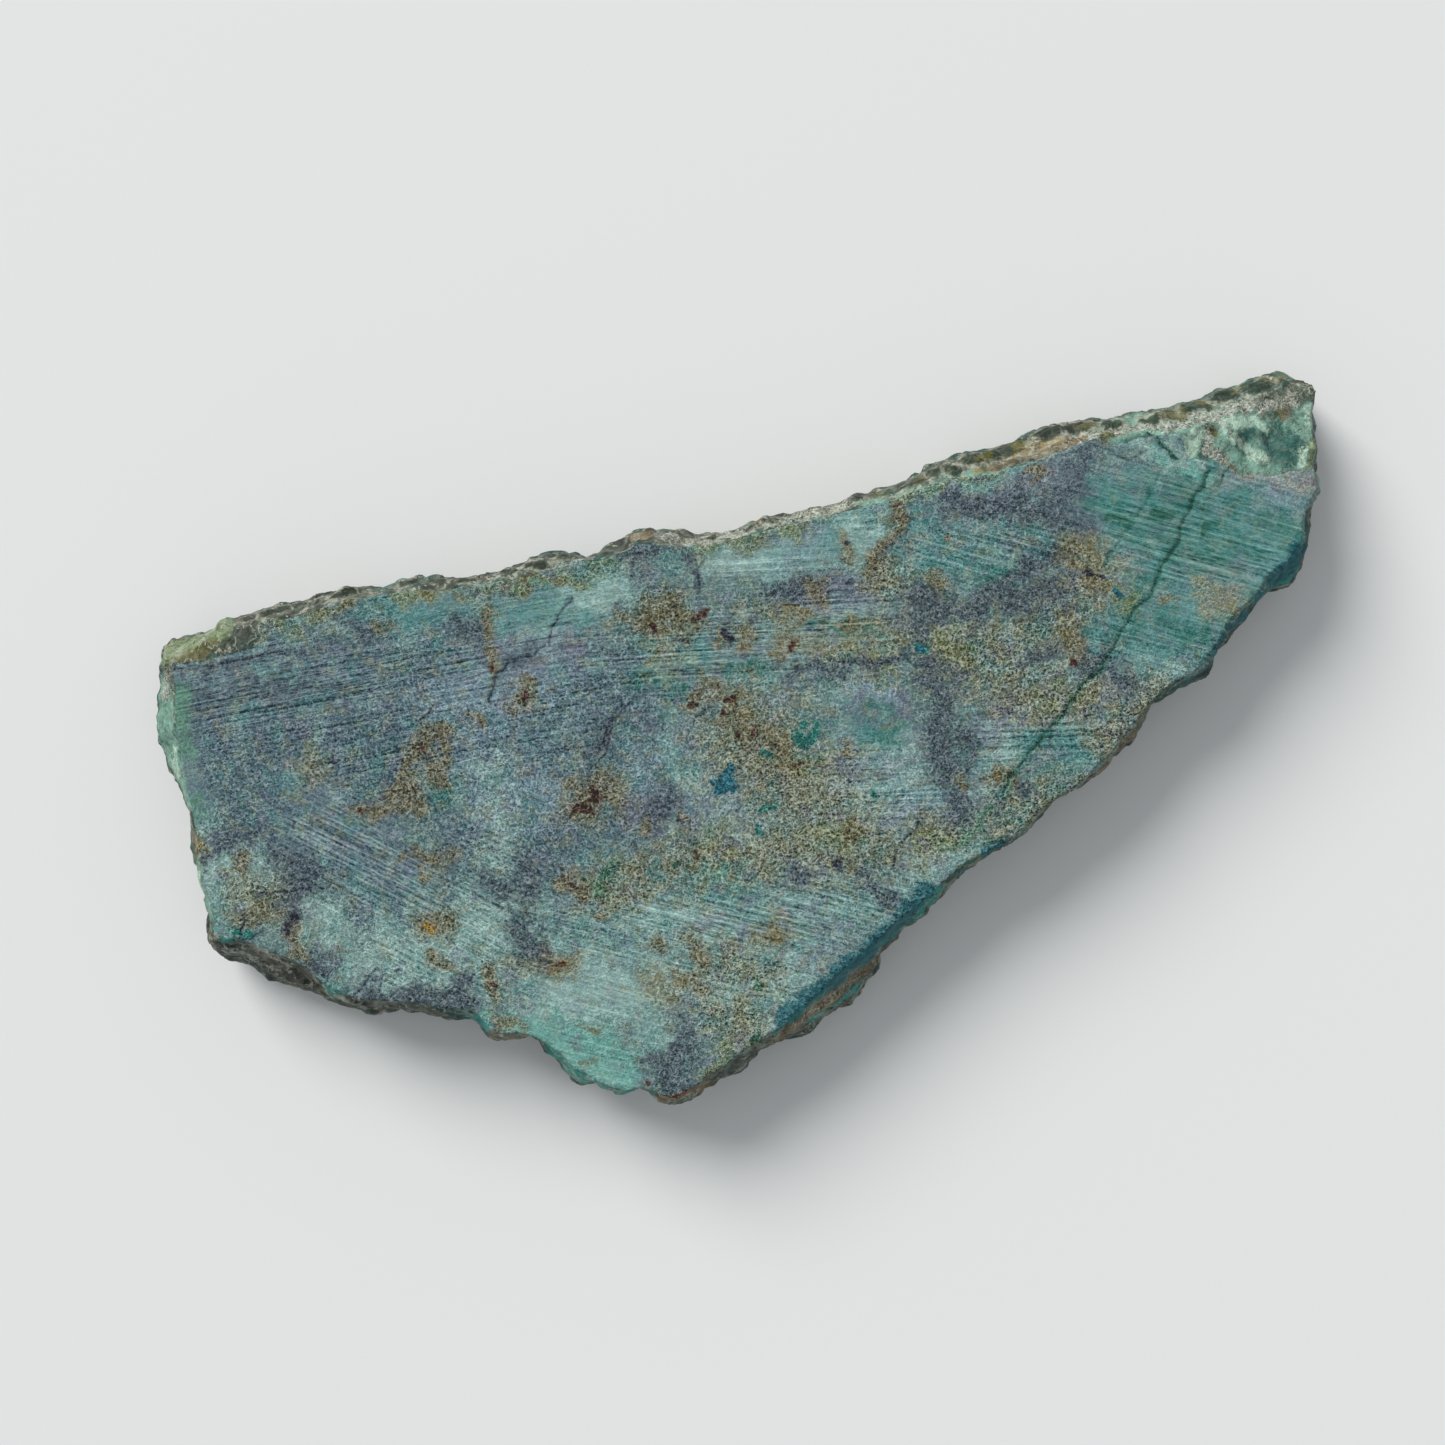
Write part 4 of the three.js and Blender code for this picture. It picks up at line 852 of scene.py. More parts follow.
def shape_stone(settings):
    """The slice's mesh with its fine relief, and its masks as attributes."""
    mesh = even_mesh(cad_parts[NODE], settings.face_size)
    spots = [stroke for name in ACCENTS if name != "strip" for stroke in LAYERS[name]]
    halve_near(mesh, CRACKS + THREADS + spots)
    place = read_vectors(mesh.vertices, "co") / MM
    normal = read_vectors(mesh.vertices, "normal")
    sawn, back = sawn_masks(mesh, place, normal)
    skin = 1 - np.maximum(sawn, back)
    upper = smoothstep(*RIM_SPAN, neighbour_mean(mesh, normal[:, 2], RIM_SMOOTHING))
    near_line = wander(place[:, :2], LINE_WANDER)
    off_crack = line_distance(near_line, CRACKS)
    off_thread = line_distance(near_line, THREADS)
    knob = stroke_mask(near_line, SKIN["skin_green"], soft=1.2, least=0.4)

    relief = np.zeros(len(place))
    crease = np.zeros(len(place))
    rough = np.flatnonzero(skin > KEPT)
    relief[rough], crease[rough] = skin_relief(place[rough], settings)
    relief[rough] += settings.knob_height / MM * (upper * (knob - KNOB_MIDDLE))[rough]
    place += normal * (relief * skin)[:, None]
    face = np.flatnonzero(sawn > KEPT)
    place[face, 2] -= face_relief(place[face], settings, off_crack[face], off_thread[face]) * sawn[face]
    place[:, 2] = np.clip(place[:, 2], 0, TOP)
    mesh.vertices.foreach_set("co", (place * MM).astype(np.float32).ravel())

    wave_size, wave_height = UPPER_WAVES
    level = place[:, 2] + wave_height * fractal(place, wave_size, 3, seed=9)
    low, high = (TOP - depth for depth in UPPER_DEPTHS)
    upper = np.maximum(smoothstep(low, high, level), upper)
    masks = colour_masks(place, near_line, upper)
    low, high = (TOP - depth for depth in BARE_DEPTHS)
    bare = smoothstep(low, high, place[:, 2]) * stroke_mask(near_line, BARE)
    rising, falling = OUTLINE_SPANS
    masks["outline"] = upper * smoothstep(*rising, knob) * smoothstep(*falling, knob)
    masks["off_crack"] = np.minimum(off_crack, 1)
    masks["off_thread"] = np.minimum(off_thread, 1)
    masks["skin"] = skin * (1 - bare)
    masks["back"] = back
    masks["crease"] = crease
    for name, values in masks.items():
        attribute = mesh.attributes.new(name, "FLOAT", "POINT")
        attribute.data.foreach_set("value", values.astype(np.float32))
    return mesh


def thin_back(piece, triangles):
    """Merges small faces on the flat back until the piece has about the given number of triangles."""
    mesh = piece.data
    weight = np.empty(len(mesh.vertices), np.float32)
    mesh.attributes["back"].data.foreach_get("value", weight)
    group = piece.vertex_groups.new(name="back")
    group.add(np.flatnonzero(weight > 0.98).tolist(), 1.0, "REPLACE")
    present = sum(len(polygon.vertices) - 2 for polygon in mesh.polygons)
    decimate = piece.modifiers.new("Thin back", "DECIMATE")
    decimate.vertex_group = group.name
    decimate.ratio = min(1.0, triangles / present)
    decimate.use_collapse_triangulate = True
    thin = bpy.data.meshes.new_from_object(piece.evaluated_get(bpy.context.evaluated_depsgraph_get()))
    piece.modifiers.clear()
    piece.vertex_groups.clear()
    piece.data = thin
    bpy.data.meshes.remove(mesh)
    thin.name = STONE


# ---------------------------------------------------------------- materials

# How each layer breaks up at its edge: which of NOISES does it, how ragged and how faded the edge is, and
# the layer's strength. The first layer is the lowest.
EDGES = {
    "slate": ("broad", 0.60, 0.60, 0.85),
    "blush": ("middling", -0.40, 0.70, 0.85),
    "lavender": ("middling", 0.60, 0.55, 0.70),
    "bluegrey": ("middling", -0.60, 0.55, 0.70),
    "water": ("broad", -0.60, 0.55, 0.80),
    "teal": ("broad", 0.60, 0.55, 0.75),
    "deep": ("middling", 0.50, 0.60, 0.70),
    "pale": ("middling", -0.60, 0.55, 0.75),
    "turquoise": ("middling", 0.60, 0.50, 0.85),
    "olive": ("middling", -0.80, 0.80, 0.85),
    "moss": ("middling", 0.70, 0.60, 0.60),
    "vein": ("fine", 0.65, 0.50, 0.90),
    "ochre": ("middling", -0.50, 0.70, 0.80),
    "amber": ("fine", 0.40, 0.60, 0.80),
    "rust": ("fine", 0.60, 0.40, 0.95),
    "ink": ("fine", 0.35, 0.30, 0.90),
    "jade": ("fine", 0.60, 0.35, 0.90),
    "copper": ("fine", -0.45, 0.25, 1.0),
    "fern": ("fine", 0.35, 0.30, 0.85),
    "green": ("broad", 0.40, 0.60, 0.75),
}
NOISES = {"fine": (0.45, 3.0), "middling": (0.95, 3.0), "broad": (1.9, 3.0)}  # size and detail

# Small clouds of other tones all over the sawn stone, laid just under the veins: their size and strength.
CLOUDS = {
    "lavender": (1.3, 0.50),
    "teal": (1.9, 0.46),
    "olive": (1.1, 0.38),
    "vein": (0.8, 0.24),
    "pale": (1.5, 0.25),
}
CALM = 0.45  # the share of the clouds that smooth stone keeps

# Stains along the threads and cracks: their colour, how far out they end, where they are full, and strength.
STAINS = {
    "off_thread": [("vein", 0.30, 0.0, 0.35), ("ink", 0.08, -0.04, 0.75)],
    "off_crack": [("deep", 0.40, 0.0, 0.45), ("crack", 0.10, -0.02, 0.90)],
}
STAIN_FRAY = 0.28

# Patches of the crust all round the edge: their size, the noise level they begin at and their strength.
PATCHES = {
    "skin_sea": (6.0, 0.50, 0.75),
    "skin_mint": (4.5, 0.60, 0.50),
    "skin_moss": (4.0, 0.60, 0.45),
    "skin_tan": (3.2, 0.58, 0.50),
    "skin_lagoon": (5.0, 0.66, 0.60),
    "shadow": (1.8, 0.54, 0.50),
}
PATCH_FADE = 0.08

# Edges of the kinds of skin: how ragged they are, by turns one way and the other, and which are more so.
SKIN_RAGGED = (0.45, -0.45)
MORE_RAGGED = {"skin_chalk": 2.2, "skin_green": 1.5}
SKIN_FADE = 0.35
SKIN_STRENGTH = 0.9

# The skin's mottle, creases and crazing. A crazing is its size and its lines' width.
SKIN_MOTTLE_SIZE = 1.2
SKIN_DARK = 0.5
SKIN_PALE = 0.19
CREASE_STRENGTH = 0.52
DARK_CRAZING = (2.0, 0.016)
DARK_CRAZING_STRENGTH = 0.75
PALE_CRAZING = (1.5, 0.026)
CRAZING_GAPS = (0.42, 0.56)
RING_SPAN = (0.42, 0.58, 0.2, 0.9)  # how the pale rings round the knobs break up, from noise to strength
GLOSSY = ("skin_mint", "skin_sea", "skin_green")  # the kinds of skin with little pale mineral on them
CHALKED = (0.95, 0.25)  # the share of pale mineral on other skin and on glossy skin

# The ragged edge, the grain, the mottle and the noise that bends most patterns.
RAGGED_REACH = 3.5
SPECK_SHARE = 0.05
PRESENT_SPAN = (0.0, 0.15)  # a ragged edge fades out where the mask is this low
GRAIN_SIZE = 0.25
GRAIN_CONTRAST = 3.2
CURLS = ((1.6, 0.75), (0.9, 0.55))  # the squiggles' size, as a share of the grain's, and their height
CURL_WIDTH = 0.07
CURL_DIP = -0.4
MOTTLE_DARK = (0.50, 0.34)
MOTTLE_PALE = (0.50, 0.66)
WARP_SCALE = 1.1
WARP_REACH = 1.6

# The noises in a saw mark: their scale along and across the cut, and their detail.
SAW_NOISES = {"grain": (1.4, 3.6, 1.0), "line": (0.05, 3.0, 2.0), "band": (0.05, 0.45, 1.0)}
SAW_BANDS = (0.35, 0.62, 0.6, 1.0)  # how the lines' strength goes with the band noise
BAND_DRIFT = 3.0
COMB_HEIGHT = 0.42
LINE_HEIGHT = 3.6

# How a point's value, which is about -1 to 2, makes its colour darker or lighter. The value is the grain's
# and saw marks' own tone and also the sawn stone's bump height, so it also paints shade into the pits and
# grooves and paints highlight onto the raised grain.
VALUE_GAIN = 0.45
VALUE_MIDDLE = 1.13
GAIN_LIMITS = (0.30, 2.2)
# Part of this added light is painted highlight and painted shade on the relief.
TONE_AND_PAINTED_LIGHT = (0.055, 0.020)  # light added with the value, on sawn stone and on skin
DARKEST = 0.012
# Pale stone dust and painted highlight on the highest grains: the values where it starts and is full, and
# its strength.
DUST_AND_PAINTED_HIGHLIGHT_SPAN = (0.6, 2.6)
DUST_AND_PAINTED_HIGHLIGHT_STRENGTH = 0.30
SKIN_STREAKS = (1.5, 0.6, 1.0)  # how the skin's tone is squeezed along X, Y and Z
SKIN_TONE = (0.8, 3.0)  # its size and height
CHALKY = (0.5, 1.6)  # how strong the grain is on other skin and on chalky skin

BORDER = (0.25, 0.2)  # how ragged and how faded the edge between face and skin is
STRIP_EDGE = (0.4, 0.35)
STRIP_STRENGTH = 0.9

BUMP_HEIGHT = 0.08
SAWN_BUMP = 0.35
SKIN_BUMP_SIZE = 0.6
SKIN_BUMPS = (1.6, 0.25)  # the share of the skin's small bumps and of its grain
ROUGHNESS = (0.80, 0.58)  # of sawn stone and of skin
GRAIN_ROUGHNESS = 0.05
GLOSS = 0.25


class Graph:
    """Adds nodes to a node tree. An input is a socket to link or a value to set."""

    def __init__(self, tree):
        self.tree = tree

    def set(self, socket, value):
        if isinstance(value, bpy.types.NodeSocket):
            self.tree.links.new(value, socket)
        else:
            socket.default_value = value

    def node(self, kind, inputs=(), **properties):
        node = self.tree.nodes.new("ShaderNode" + kind)
        for name, value in properties.items():
            setattr(node, name, value)
        for key, value in dict(inputs).items():
            self.set(node.inputs[key], value)
        return node

    def math(self, operation, *values):
        return self.node("Math", enumerate(values), operation=operation).outputs[0]

    def product(self, first, *others):
        for other in others:
            first = self.math("MULTIPLY", first, other)
        return first

    def centred(self, value):
        """A value from 0 to 1, moved to lie about 0."""
        return self.math("SUBTRACT", value, 0.5)

    def vector(self, operation, a, b):
        key = "Scale" if operation == "SCALE" else 1
        return self.node("VectorMath", {0: a, key: b}, operation=operation).outputs[0]

    def mix(self, share, a, b):
        """Colour a with a share of colour b laid over it."""
        return self.node("Mix", {0: share, 6: as_rgba(a), 7: as_rgba(b)}, data_type="RGBA").outputs[2]

    def blend(self, share, a, b):
        """Number a with a share of number b."""
        return self.node("Mix", {0: share, 2: a, 3: b}, data_type="FLOAT").outputs[0]

    def span(self, value, low, high, to_low=0.0, to_high=1.0):
        """to_low where value is low, to_high where it is high, with a smooth change between them."""
        inputs = {"Value": value, 1: low, 2: high, 3: to_low, 4: to_high}
        return self.node("MapRange", inputs, interpolation_type="SMOOTHSTEP").outputs[0]

    def noise(self, place, size, detail=3.0, roughness=0.55, seed=0.0):
        """Noise from 0 to 1 with features of the given size."""
        scale = self.math("DIVIDE", 1.0, size) if isinstance(size, bpy.types.NodeSocket) else 1 / size
        moved = self.vector("ADD", place, self.node("CombineXYZ", {0: seed, 1: seed, 2: seed}).outputs[0])
        inputs = {"Vector": moved, "Scale": scale, "Detail": detail, "Roughness": roughness}
        return self.node("TexNoise", inputs).outputs[0]

    def mask(self, name):
        """One of the masks that shape_stone leaves on the mesh."""
        return self.node("Attribute", attribute_name=name).outputs["Fac"]

    def group(self, name, inputs):
        node = self.tree.nodes.new("ShaderNodeGroup")
        node.node_tree = bpy.data.node_groups[name]
        for key, value in inputs.items():
            self.set(node.inputs[key], value)
        return node


def as_rgba(value):
    if isinstance(value, bpy.types.NodeSocket) or len(value) == 4:
        return value
    return (*value, 1.0)


def new_group(name, inputs, outputs):
    """A shader node group. Returns its graph, its inputs by name and its outputs by name."""
    tree = bpy.data.node_groups.new(name, "ShaderNodeTree")
    kinds = {"float": "NodeSocketFloat", "vector": "NodeSocketVector"}
    for socket, kind, *default in inputs:
        made = tree.interface.new_socket(socket, in_out="INPUT", socket_type=kinds[kind])
        if default:
            made.default_value = default[0]
    for socket in outputs:
        tree.interface.new_socket(socket, in_out="OUTPUT", socket_type=kinds["float"])
    start = tree.nodes.new("NodeGroupInput")
    return Graph(tree), start.outputs, tree.nodes.new("NodeGroupOutput").inputs


def make_ragged_edge():
    """Turns a soft mask into one with a ragged edge, given noise from 0 to 1 to break it up with."""
    inputs = [
        ("Mask", "float"),
        ("Noise", "float", 0.5),
        ("Ragged", "float", 0.5),
        ("Fade", "float", 0.15),
        ("Speck", "float"),
    ]
    g, start, end = new_group("Ragged edge", inputs, ["Mask"])
    speckled = g.math("MULTIPLY_ADD", start["Speck"], SPECK_SHARE, start["Mask"])
    reach = g.product(start["Ragged"], RAGGED_REACH)
    pushed = g.math("MULTIPLY_ADD", g.centred(start["Noise"]), reach, speckled)
    low = g.math("SUBTRACT", 0.5, start["Fade"])
    high = g.math("ADD", 0.5, start["Fade"])
    present = g.span(start["Mask"], *PRESENT_SPAN)
    g.set(end["Mask"], g.product(g.span(pushed, low, high), present))


def make_grain():
    """Crystalline grain of broken stone, from about -1 to 2: low pits between raised, thin squiggles.

    As colour it is the grain's own tone, with painted shade in the pits and painted highlight on the
    squiggles.
    """
    inputs = [("Place", "vector"), ("Size", "float", 0.3), ("Seed", "float")]
    g, start, end = new_group("Grain", inputs, ["Value"])
    speckle = g.noise(start["Place"], start["Size"], 2.0, 0.85, start["Seed"])
    total = g.product(g.centred(speckle), GRAIN_CONTRAST)
    for share, height in CURLS:
        curls = g.noise(start["Place"], g.product(start["Size"], share), 1.0, 0.5, start["Seed"])
        off = g.math("ABSOLUTE", g.centred(curls))
        total = g.math("ADD", total, g.span(off, CURL_WIDTH, 0.0, CURL_DIP * height, height))
    g.set(end["Value"], total)


def make_saw_marks():
    """Marks of a saw, from about -1 to 1: grain drawn out along the cut, and slightly bowed lines.

    Angle is in degrees, anticlockwise from X. Bias makes the lines paler or darker on the whole.
    """
    inputs = [
        ("Place", "vector"),
        ("Angle", "float"),
        ("Pitch", "float", 0.55),
        ("Bow", "float", 0.0004),
        ("Bias", "float"),
        ("Drawn", "float", 3.0),
        ("Seed", "float"),
    ]
    g, start, end = new_group("Saw marks", inputs, ["Value"])
    turned = {"Vector": start["Place"], "Angle": g.product(start["Angle"], math.radians(-1))}
    place = g.node("VectorRotate", turned, rotation_type="Z_AXIS").outputs[0]
    split = g.node("SeparateXYZ", {0: place}).outputs
    bow = g.product(split[0], split[0], start["Bow"])
    across = g.math("DIVIDE", g.math("ADD", split[1], bow), start["Pitch"])
    marks = {}
    for name, (along_scale, across_scale, detail) in SAW_NOISES.items():
        stretched = {0: g.product(split[0], along_scale), 1: g.product(across, across_scale)}
        marks[name] = g.noise(g.node("CombineXYZ", stretched).outputs[0], 1.0, detail, 0.65, start["Seed"])
    phase = g.product(g.math("MULTIPLY_ADD", marks["band"], BAND_DRIFT, across), math.tau)
    lines = g.product(g.centred(marks["line"]), LINE_HEIGHT)
    comb = g.math("MULTIPLY_ADD", g.math("SINE", phase), COMB_HEIGHT, lines)
    even = g.product(comb, g.span(marks["band"], *SAW_BANDS))
    biased = g.math("MULTIPLY_ADD", g.product(even, even), start["Bias"], even)
    drawn = g.product(g.centred(marks["grain"]), start["Drawn"])
    g.set(end["Value"], g.math("ADD", biased, drawn))


def make_mottle():
    """Cloudy change of tone: how far to go towards a darker and a paler colour."""
    inputs = [("Place", "vector"), ("Size", "float", 2.0), ("Seed", "float")]
    g, start, end = new_group("Mottle", inputs, ["Dark", "Pale"])
    cloud = g.noise(start["Place"], start["Size"], 2.0, 0.5, start["Seed"])
    g.set(end["Dark"], g.span(cloud, *MOTTLE_DARK))
    g.set(end["Pale"], g.span(cloud, *MOTTLE_PALE))


def make_crazing():
    """Thin broken lines where a cloudy pattern crosses its middle, from 0 to 1."""
    inputs = [("Place", "vector"), ("Size", "float", 1.5), ("Width", "float", 0.02), ("Seed", "float")]
    g, start, end = new_group("Crazing", inputs, ["Lines"])
    cloud = g.noise(start["Place"], start["Size"], 3.0, 0.55, start["Seed"])
    off = g.math("ABSOLUTE", g.centred(cloud))
    gaps = g.noise(start["Place"], g.product(start["Size"], 0.8), 1.0, 0.5, start["Seed"])
    g.set(end["Lines"], g.product(g.span(off, start["Width"], 0.0), g.span(gaps, *CRAZING_GAPS)))


def ragged_mask(g, name, noise_value, ragged, fade, speck=0.0):
    """The mesh's mask of the given name, with a ragged edge."""
    inputs = {"Mask": g.mask(name), "Noise": noise_value, "Ragged": ragged, "Fade": fade, "Speck": speck}
    return g.group("Ragged edge", inputs).outputs[0]


def stained(g, noises, warped, grain, colours):
    """The sawn stone's colour: the ground with its clouds, layers and stained cracks over it."""
    base = as_rgba(colours.ground)
    calm = g.span(g.mask("smooth"), 0.0, 1.0, 1.0, CALM)
    for name, (kind, ragged, fade, strength) in EDGES.items():
        if name == "vein":
            for seed, (cloud, (size, cloud_strength)) in enumerate(CLOUDS.items()):
                inputs = {"Place": warped, "Size": size, "Seed": 50.0 + seed * 9}
                pale = g.group("Mottle", inputs).outputs["Pale"]
                base = g.mix(g.product(pale, cloud_strength, calm), base, getattr(colours, cloud))
        share = g.product(ragged_mask(g, name, noises[kind], ragged, fade, grain), strength)
        base = g.mix(share, base, getattr(colours, name))
    fray = g.product(g.centred(noises["fine"]), STAIN_FRAY)
    for lines, stains in STAINS.items():
        off = g.math("ADD", g.mask(lines), fray)
        for name, end, full, strength in stains:
            base = g.mix(g.span(off, end, full, 0.0, strength), base, getattr(colours, name))
    return base


def crusted(g, noises, warped, grain, colours):
    """The natural skin's colour: crust with its patches, kinds, lumps and creases."""
    crust = as_rgba(colours.crust)
    for seed, (name, (size, low, strength)) in enumerate(PATCHES.items()):
        patch = g.noise(warped, size, 3.0, 0.6, 60.0 + 9 * seed)
        share = g.span(patch, low, low + PATCH_FADE, 0.0, strength)
        crust = g.mix(share, crust, getattr(colours, name))
    for number, name in enumerate(SKIN):
        ragged = SKIN_RAGGED[number % 2] * MORE_RAGGED.get(name, 1)
        share = g.product(ragged_mask(g, name, noises["fine"], ragged, SKIN_FADE, grain), SKIN_STRENGTH)
        crust = g.mix(share, crust, getattr(colours, name))
    ring = g.product(g.mask("outline"), g.span(noises["fine"], *RING_SPAN))
    crust = g.mix(ring, crust, colours.crease)

    mottle = g.group("Mottle", {"Place": warped, "Size": SKIN_MOTTLE_SIZE, "Seed": 21.0}).outputs
    crust = g.mix(g.product(mottle["Dark"], SKIN_DARK), crust, colours.shadow)
    glossy = g.mask(GLOSSY[0])
    for name in GLOSSY[1:]:
        glossy = g.math("MAXIMUM", glossy, g.mask(name))
    chalked = g.span(glossy, 0.0, 0.9, *CHALKED)
    for mask, strength in ((mottle["Pale"], SKIN_PALE), (g.mask("crease"), CREASE_STRENGTH)):
        crust = g.mix(g.product(mask, strength, chalked), crust, colours.crease)
    size, width = DARK_CRAZING
    dark = g.group("Crazing", {"Place": warped, "Size": size, "Width": width, "Seed": 71.0}).outputs[0]
    crust = g.mix(g.product(dark, DARK_CRAZING_STRENGTH), crust, colours.shadow)
    size, width = PALE_CRAZING
    pale = g.group("Crazing", {"Place": warped, "Size": size, "Width": width, "Seed": 83.0}).outputs[0]
    return g.mix(g.product(pale, chalked), crust, colours.crease)


def sawn_tone_and_painted_light(g, place, grain):
    """How light or dark the saw marks and the grain make the sawn stone: their own tone, with painted shade
    in the grooves and pits and painted highlight on the raised grain, since the same value is the bump's
    height.
    """
    saw = 0.0
    for number, (name, (angle, bias, _)) in enumerate(SAW_MARKS.items()):
        inputs = {"Place": place, "Angle": float(angle), "Bias": bias, "Seed": number * 5.3}
        marks = g.group("Saw marks", inputs).outputs["Value"]
        saw = g.math("MULTIPLY_ADD", marks, g.mask(name), saw)
    return g.math("MULTIPLY_ADD", saw, g.mask("saw_power"), g.product(grain, g.mask("grain_power")))


def skin_light(g, warped, grain):
    """How light or dark the skin's tone and its grain make it."""
    size, height = SKIN_TONE
    streaks = g.noise(g.vector("MULTIPLY", warped, SKIN_STREAKS), size, 3.0, 0.6, 17.0)
    chalky = g.span(g.mask("skin_chalk"), 0.0, 1.0, *CHALKY)
    return g.math("MULTIPLY_ADD", grain, chalky, g.product(g.centred(streaks), height))


def with_tone_and_painted_relief_light(g, surface, value, on_skin, colours):
    """The surface's colour made lighter or darker by its value: the grain's own tone, with painted shade
    where the relief is low and painted highlight where it is high. Pale stone dust, partly a painted
    highlight, goes on the highest grains.
    """
    least, most = GAIN_LIMITS
    gain = g.math("MULTIPLY_ADD", value, VALUE_GAIN, VALUE_MIDDLE)
    gain = g.node("Clamp", {0: gain, 1: least, 2: most}).outputs[0]
    tone_and_painted_light = g.product(value, g.span(on_skin, 0.0, 1.0, *TONE_AND_PAINTED_LIGHT))
    surface = g.node("VectorMath", {0: surface, 1: gain, 2: tone_and_painted_light}, operation="MULTIPLY_ADD").outputs[0]
    surface = g.vector("MAXIMUM", surface, (DARKEST, DARKEST, DARKEST))
    # Pale stone dust and painted highlight where the value is highest.
    return g.mix(g.span(value, *DUST_AND_PAINTED_HIGHLIGHT_SPAN, 0.0, DUST_AND_PAINTED_HIGHLIGHT_STRENGTH), surface, colours.dust_and_painted_highlight)


def build_material(colours):
    """The stone's one material: sawn stone and natural skin, told apart by a mask."""
    material = bpy.data.materials.new("turquoise")
    material.use_nodes = True
    material.node_tree.nodes.clear()
    g = Graph(material.node_tree)
    place = g.vector("SCALE", g.node("TexCoord").outputs["Object"], 1 / MM)
    bends = g.node("TexNoise", {"Vector": place, "Scale": WARP_SCALE, "Detail": 2.0}).outputs["Color"]
    shift = g.vector("SCALE", g.vector("SUBTRACT", bends, (0.5, 0.5, 0.5)), WARP_REACH)
    warped = g.vector("ADD", place, shift)
    noises = {
        name: g.noise(warped, size, detail, seed=7.0 * number)
        for number, (name, (size, detail)) in enumerate(NOISES.items())
    }
    fine = noises["fine"]
    grain = g.group("Grain", {"Place": place, "Size": GRAIN_SIZE, "Seed": 1.0}).outputs[0]
    sawn_value = sawn_tone_and_painted_light(g, place, grain)

    on_skin = ragged_mask(g, "skin", fine, *BORDER)
    stone = stained(g, noises, warped, grain, colours)
    crust = crusted(g, noises, warped, grain, colours)
    surface = g.mix(on_skin, stone, crust)
    on_strip = g.product(ragged_mask(g, "strip", fine, *STRIP_EDGE), STRIP_STRENGTH)
    surface = g.mix(on_strip, surface, colours.strip)
    value = g.blend(on_skin, sawn_value, skin_light(g, warped, grain))
    # Painted shade in the pits and grooves and painted highlight on the raised grain, with the grain's own
    # tone.
    surface = with_tone_and_painted_relief_light(g, surface, value, on_skin, colours)

    bumps, grains = SKIN_BUMPS
    small_bumps = g.noise(place, SKIN_BUMP_SIZE, 3.0, 0.6)
    skin_height = g.math("MULTIPLY_ADD", small_bumps, bumps, g.product(grain, grains))
    height = g.blend(on_skin, g.product(sawn_value, SAWN_BUMP), skin_height)
    bump = g.node("Bump", {"Height": height, "Distance": BUMP_HEIGHT * MM, "Strength": 1.0})
    matt = g.span(on_skin, 0.0, 1.0, *ROUGHNESS)
    inputs = {
        "Base Color": surface,
        "Roughness": g.math("MULTIPLY_ADD", grain, GRAIN_ROUGHNESS, matt),
        "Normal": bump.outputs[0],
        "Specular IOR Level": GLOSS,
    }
    shader = g.node("BsdfPrincipled", inputs)
    output = g.node("OutputMaterial")
    g.set(output.inputs["Surface"], shader.outputs[0])
    return material


# ---------------------------------------------------------------- stage

AIM = (-3.7, 5.2)  # the place on the sawn face that the camera looks at
FLOOR_REACH_M = 20
FLOOR_ROUGHNESS = 0.7
SKY_COLOUR = (0.93, 0.97, 1.0)
KEY_COLOUR = (1.0, 0.985, 0.96)
SENSOR_WIDTH = 36
NEAREST_M = 0.01


def add_object(name, data):
    """A new object in the scene's collection."""
    made = bpy.data.objects.new(name, data)
    bpy.context.collection.objects.link(made)
    return made


def add_floor(stage):
    """A wide flat floor under the stone."""
    reach = FLOOR_REACH_M
    corners = [(-reach, -reach, 0), (reach, -reach, 0), (reach, reach, 0), (-reach, reach, 0)]
    mesh = bpy.data.meshes.new("floor")
    mesh.from_pydata(corners, [], [(0, 1, 2, 3)])
    material = bpy.data.materials.new("floor")
    material.use_nodes = True
    shader = material.node_tree.nodes["Principled BSDF"]
    shader.inputs["Base Color"].default_value = as_rgba(stage.floor_colour)
    shader.inputs["Roughness"].default_value = FLOOR_ROUGHNESS
    mesh.materials.append(material)
    floor = add_object("floor", mesh)


def add_sky(stage):
    """Even light from all round, and a plain backdrop where the camera sees past the floor."""
    world = bpy.data.worlds.new("studio")
    bpy.context.scene.world = world
    world.use_nodes = True
    g = Graph(world.node_tree)
    light = world.node_tree.nodes["Background"]
    light.inputs["Color"].default_value = as_rgba(SKY_COLOUR)
    light.inputs["Strength"].default_value = stage.fill_power
    backdrop = g.node("Background", {"Color": as_rgba(stage.backdrop), "Strength": 1.0})
    seen = g.node("LightPath").outputs["Is Camera Ray"]
    both = g.node("MixShader", {0: seen, 1: light.outputs[0], 2: backdrop.outputs[0]})
    g.set(world.node_tree.nodes["World Output"].inputs["Surface"], both.outputs[0])


def add_key(stage, middle):
    """The key light, wide and far away, from the side of the picture that the settings say."""
    side = stage.key_side - stage.turn
    rise = stage.key_rise
    key = bpy.data.lights.new("key", "SUN")
    key.energy = stage.key_power
    key.angle = stage.key_spread
    key.color = KEY_COLOUR
    lamp = add_object("key", key)
    towards = Vector((math.cos(side) * math.cos(rise), math.sin(side) * math.cos(rise), math.sin(rise)))
    lamp.rotation_euler = towards.to_track_quat("Z", "Y").to_euler()
    lamp.location = middle + towards


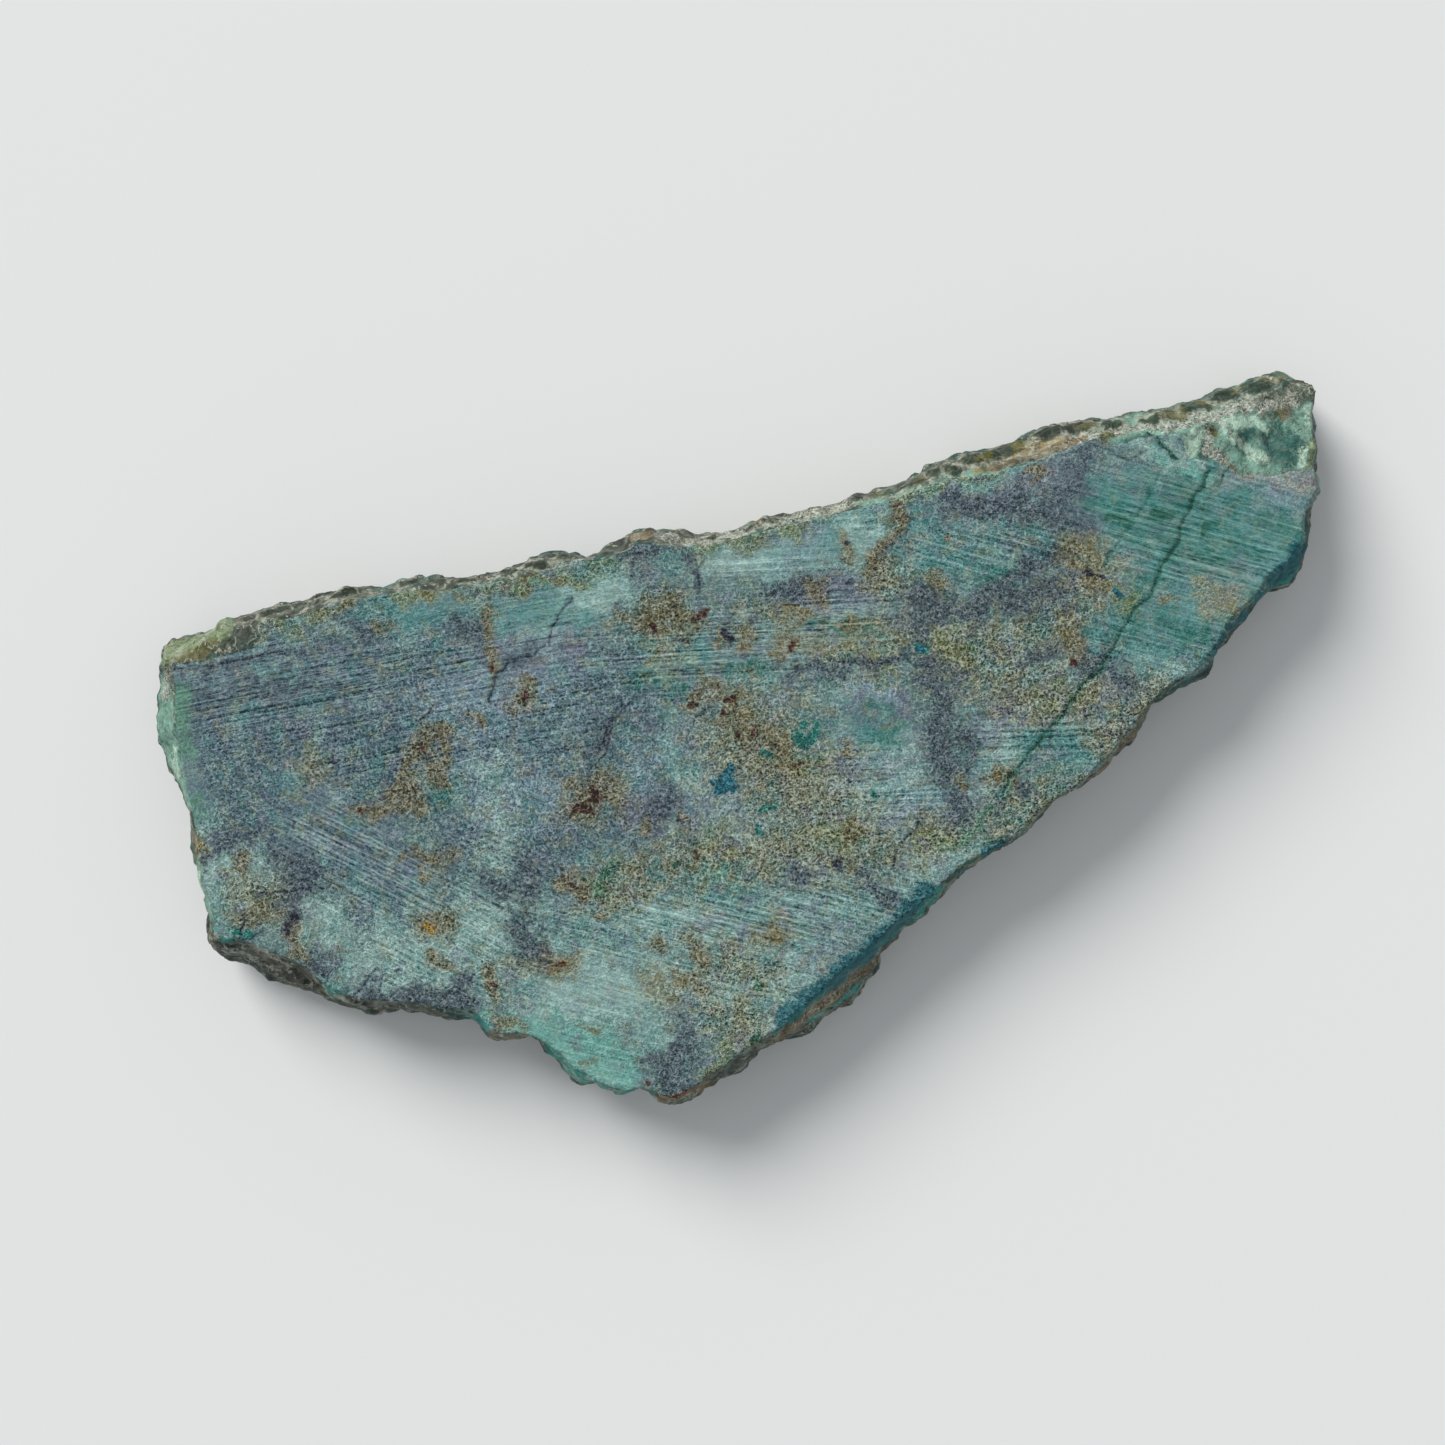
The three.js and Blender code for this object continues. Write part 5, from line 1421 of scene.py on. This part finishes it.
def add_camera(stage, middle):
    """The camera, straight above the middle of the picture."""
    camera = bpy.data.cameras.new("camera")
    camera.lens = stage.lens
    camera.sensor_width = SENSOR_WIDTH
    camera.clip_start = NEAREST_M
    height = stage.frame_width * stage.lens / camera.sensor_width
    eye = add_object("camera", camera)
    eye.location = middle + Vector((0, 0, height))
    eye.rotation_euler = (0, 0, -stage.turn)
    bpy.context.scene.camera = eye


# ---------------------------------------------------------------- operators


class TURQUOISE_OT_stone(bpy.types.Operator):
    """Make the slice's detailed mesh in place of the plain one"""

    bl_idname = "turquoise.stone"
    bl_label = "Stone"

    def execute(self, context):
        settings = context.scene.turquoise_shape
        piece = add_object(STONE, shape_stone(settings))
        thin_back(piece, settings.face_count)
        piece.data.shade_smooth()
        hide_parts(NODE)
        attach(piece, "root")
        return {"FINISHED"}


class TURQUOISE_OT_finish(bpy.types.Operator):
    """Give the slice its sawn stone and natural skin"""

    bl_idname = "turquoise.finish"
    bl_label = "Finish"

    def execute(self, context):
        for make_group in (make_ragged_edge, make_grain, make_saw_marks, make_mottle, make_crazing):
            make_group()
        piece = bpy.data.objects[STONE]
        piece.data.materials.append(build_material(context.scene.turquoise_colours))
        return {"FINISHED"}


class TURQUOISE_OT_stage(bpy.types.Operator):
    """Set the floor, the lights and the camera"""

    bl_idname = "turquoise.stage"
    bl_label = "Stage"

    def execute(self, context):
        stage = context.scene.turquoise_stage
        middle = Vector((*AIM, TOP)) * MM
        add_floor(stage)
        add_sky(stage)
        add_key(stage, middle)
        add_camera(stage, middle)
        context.scene.view_settings.view_transform = "Standard"
        return {"FINISHED"}


class TURQUOISE_PT_panel(bpy.types.Panel):
    """Lists the steps and their settings"""

    bl_label = "Turquoise slice"
    bl_idname = "TURQUOISE_PT_panel"
    bl_space_type = "VIEW_3D"
    bl_region_type = "UI"
    bl_category = "Turquoise"

    def draw(self, context):
        for operator in OPERATORS:
            self.layout.operator(operator.bl_idname)
        for name in SETTINGS:
            box = self.layout.box()
            settings = getattr(context.scene, name)
            for prop in settings.bl_rna.properties:
                if prop.identifier not in {"rna_type", "name"}:
                    box.prop(settings, prop.identifier)


OPERATORS = (TURQUOISE_OT_stone, TURQUOISE_OT_finish, TURQUOISE_OT_stage)
SETTINGS = {
    "turquoise_shape": TurquoiseShape,
    "turquoise_colours": TurquoiseColours,
    "turquoise_stage": TurquoiseStage,
}


def register():
    for cls in (*SETTINGS.values(), *OPERATORS, TURQUOISE_PT_panel):
        bpy.utils.register_class(cls)
    for name, cls in SETTINGS.items():
        setattr(bpy.types.Scene, name, bpy.props.PointerProperty(type=cls))


def unregister():
    for name in SETTINGS:
        delattr(bpy.types.Scene, name)
    for cls in (TURQUOISE_PT_panel, *OPERATORS, *SETTINGS.values()):
        bpy.utils.unregister_class(cls)


def main():
    register()
    bpy.ops.turquoise.stone()
    bpy.ops.turquoise.finish()
    bpy.ops.turquoise.stage()


if __name__ == "__main__":
    main()
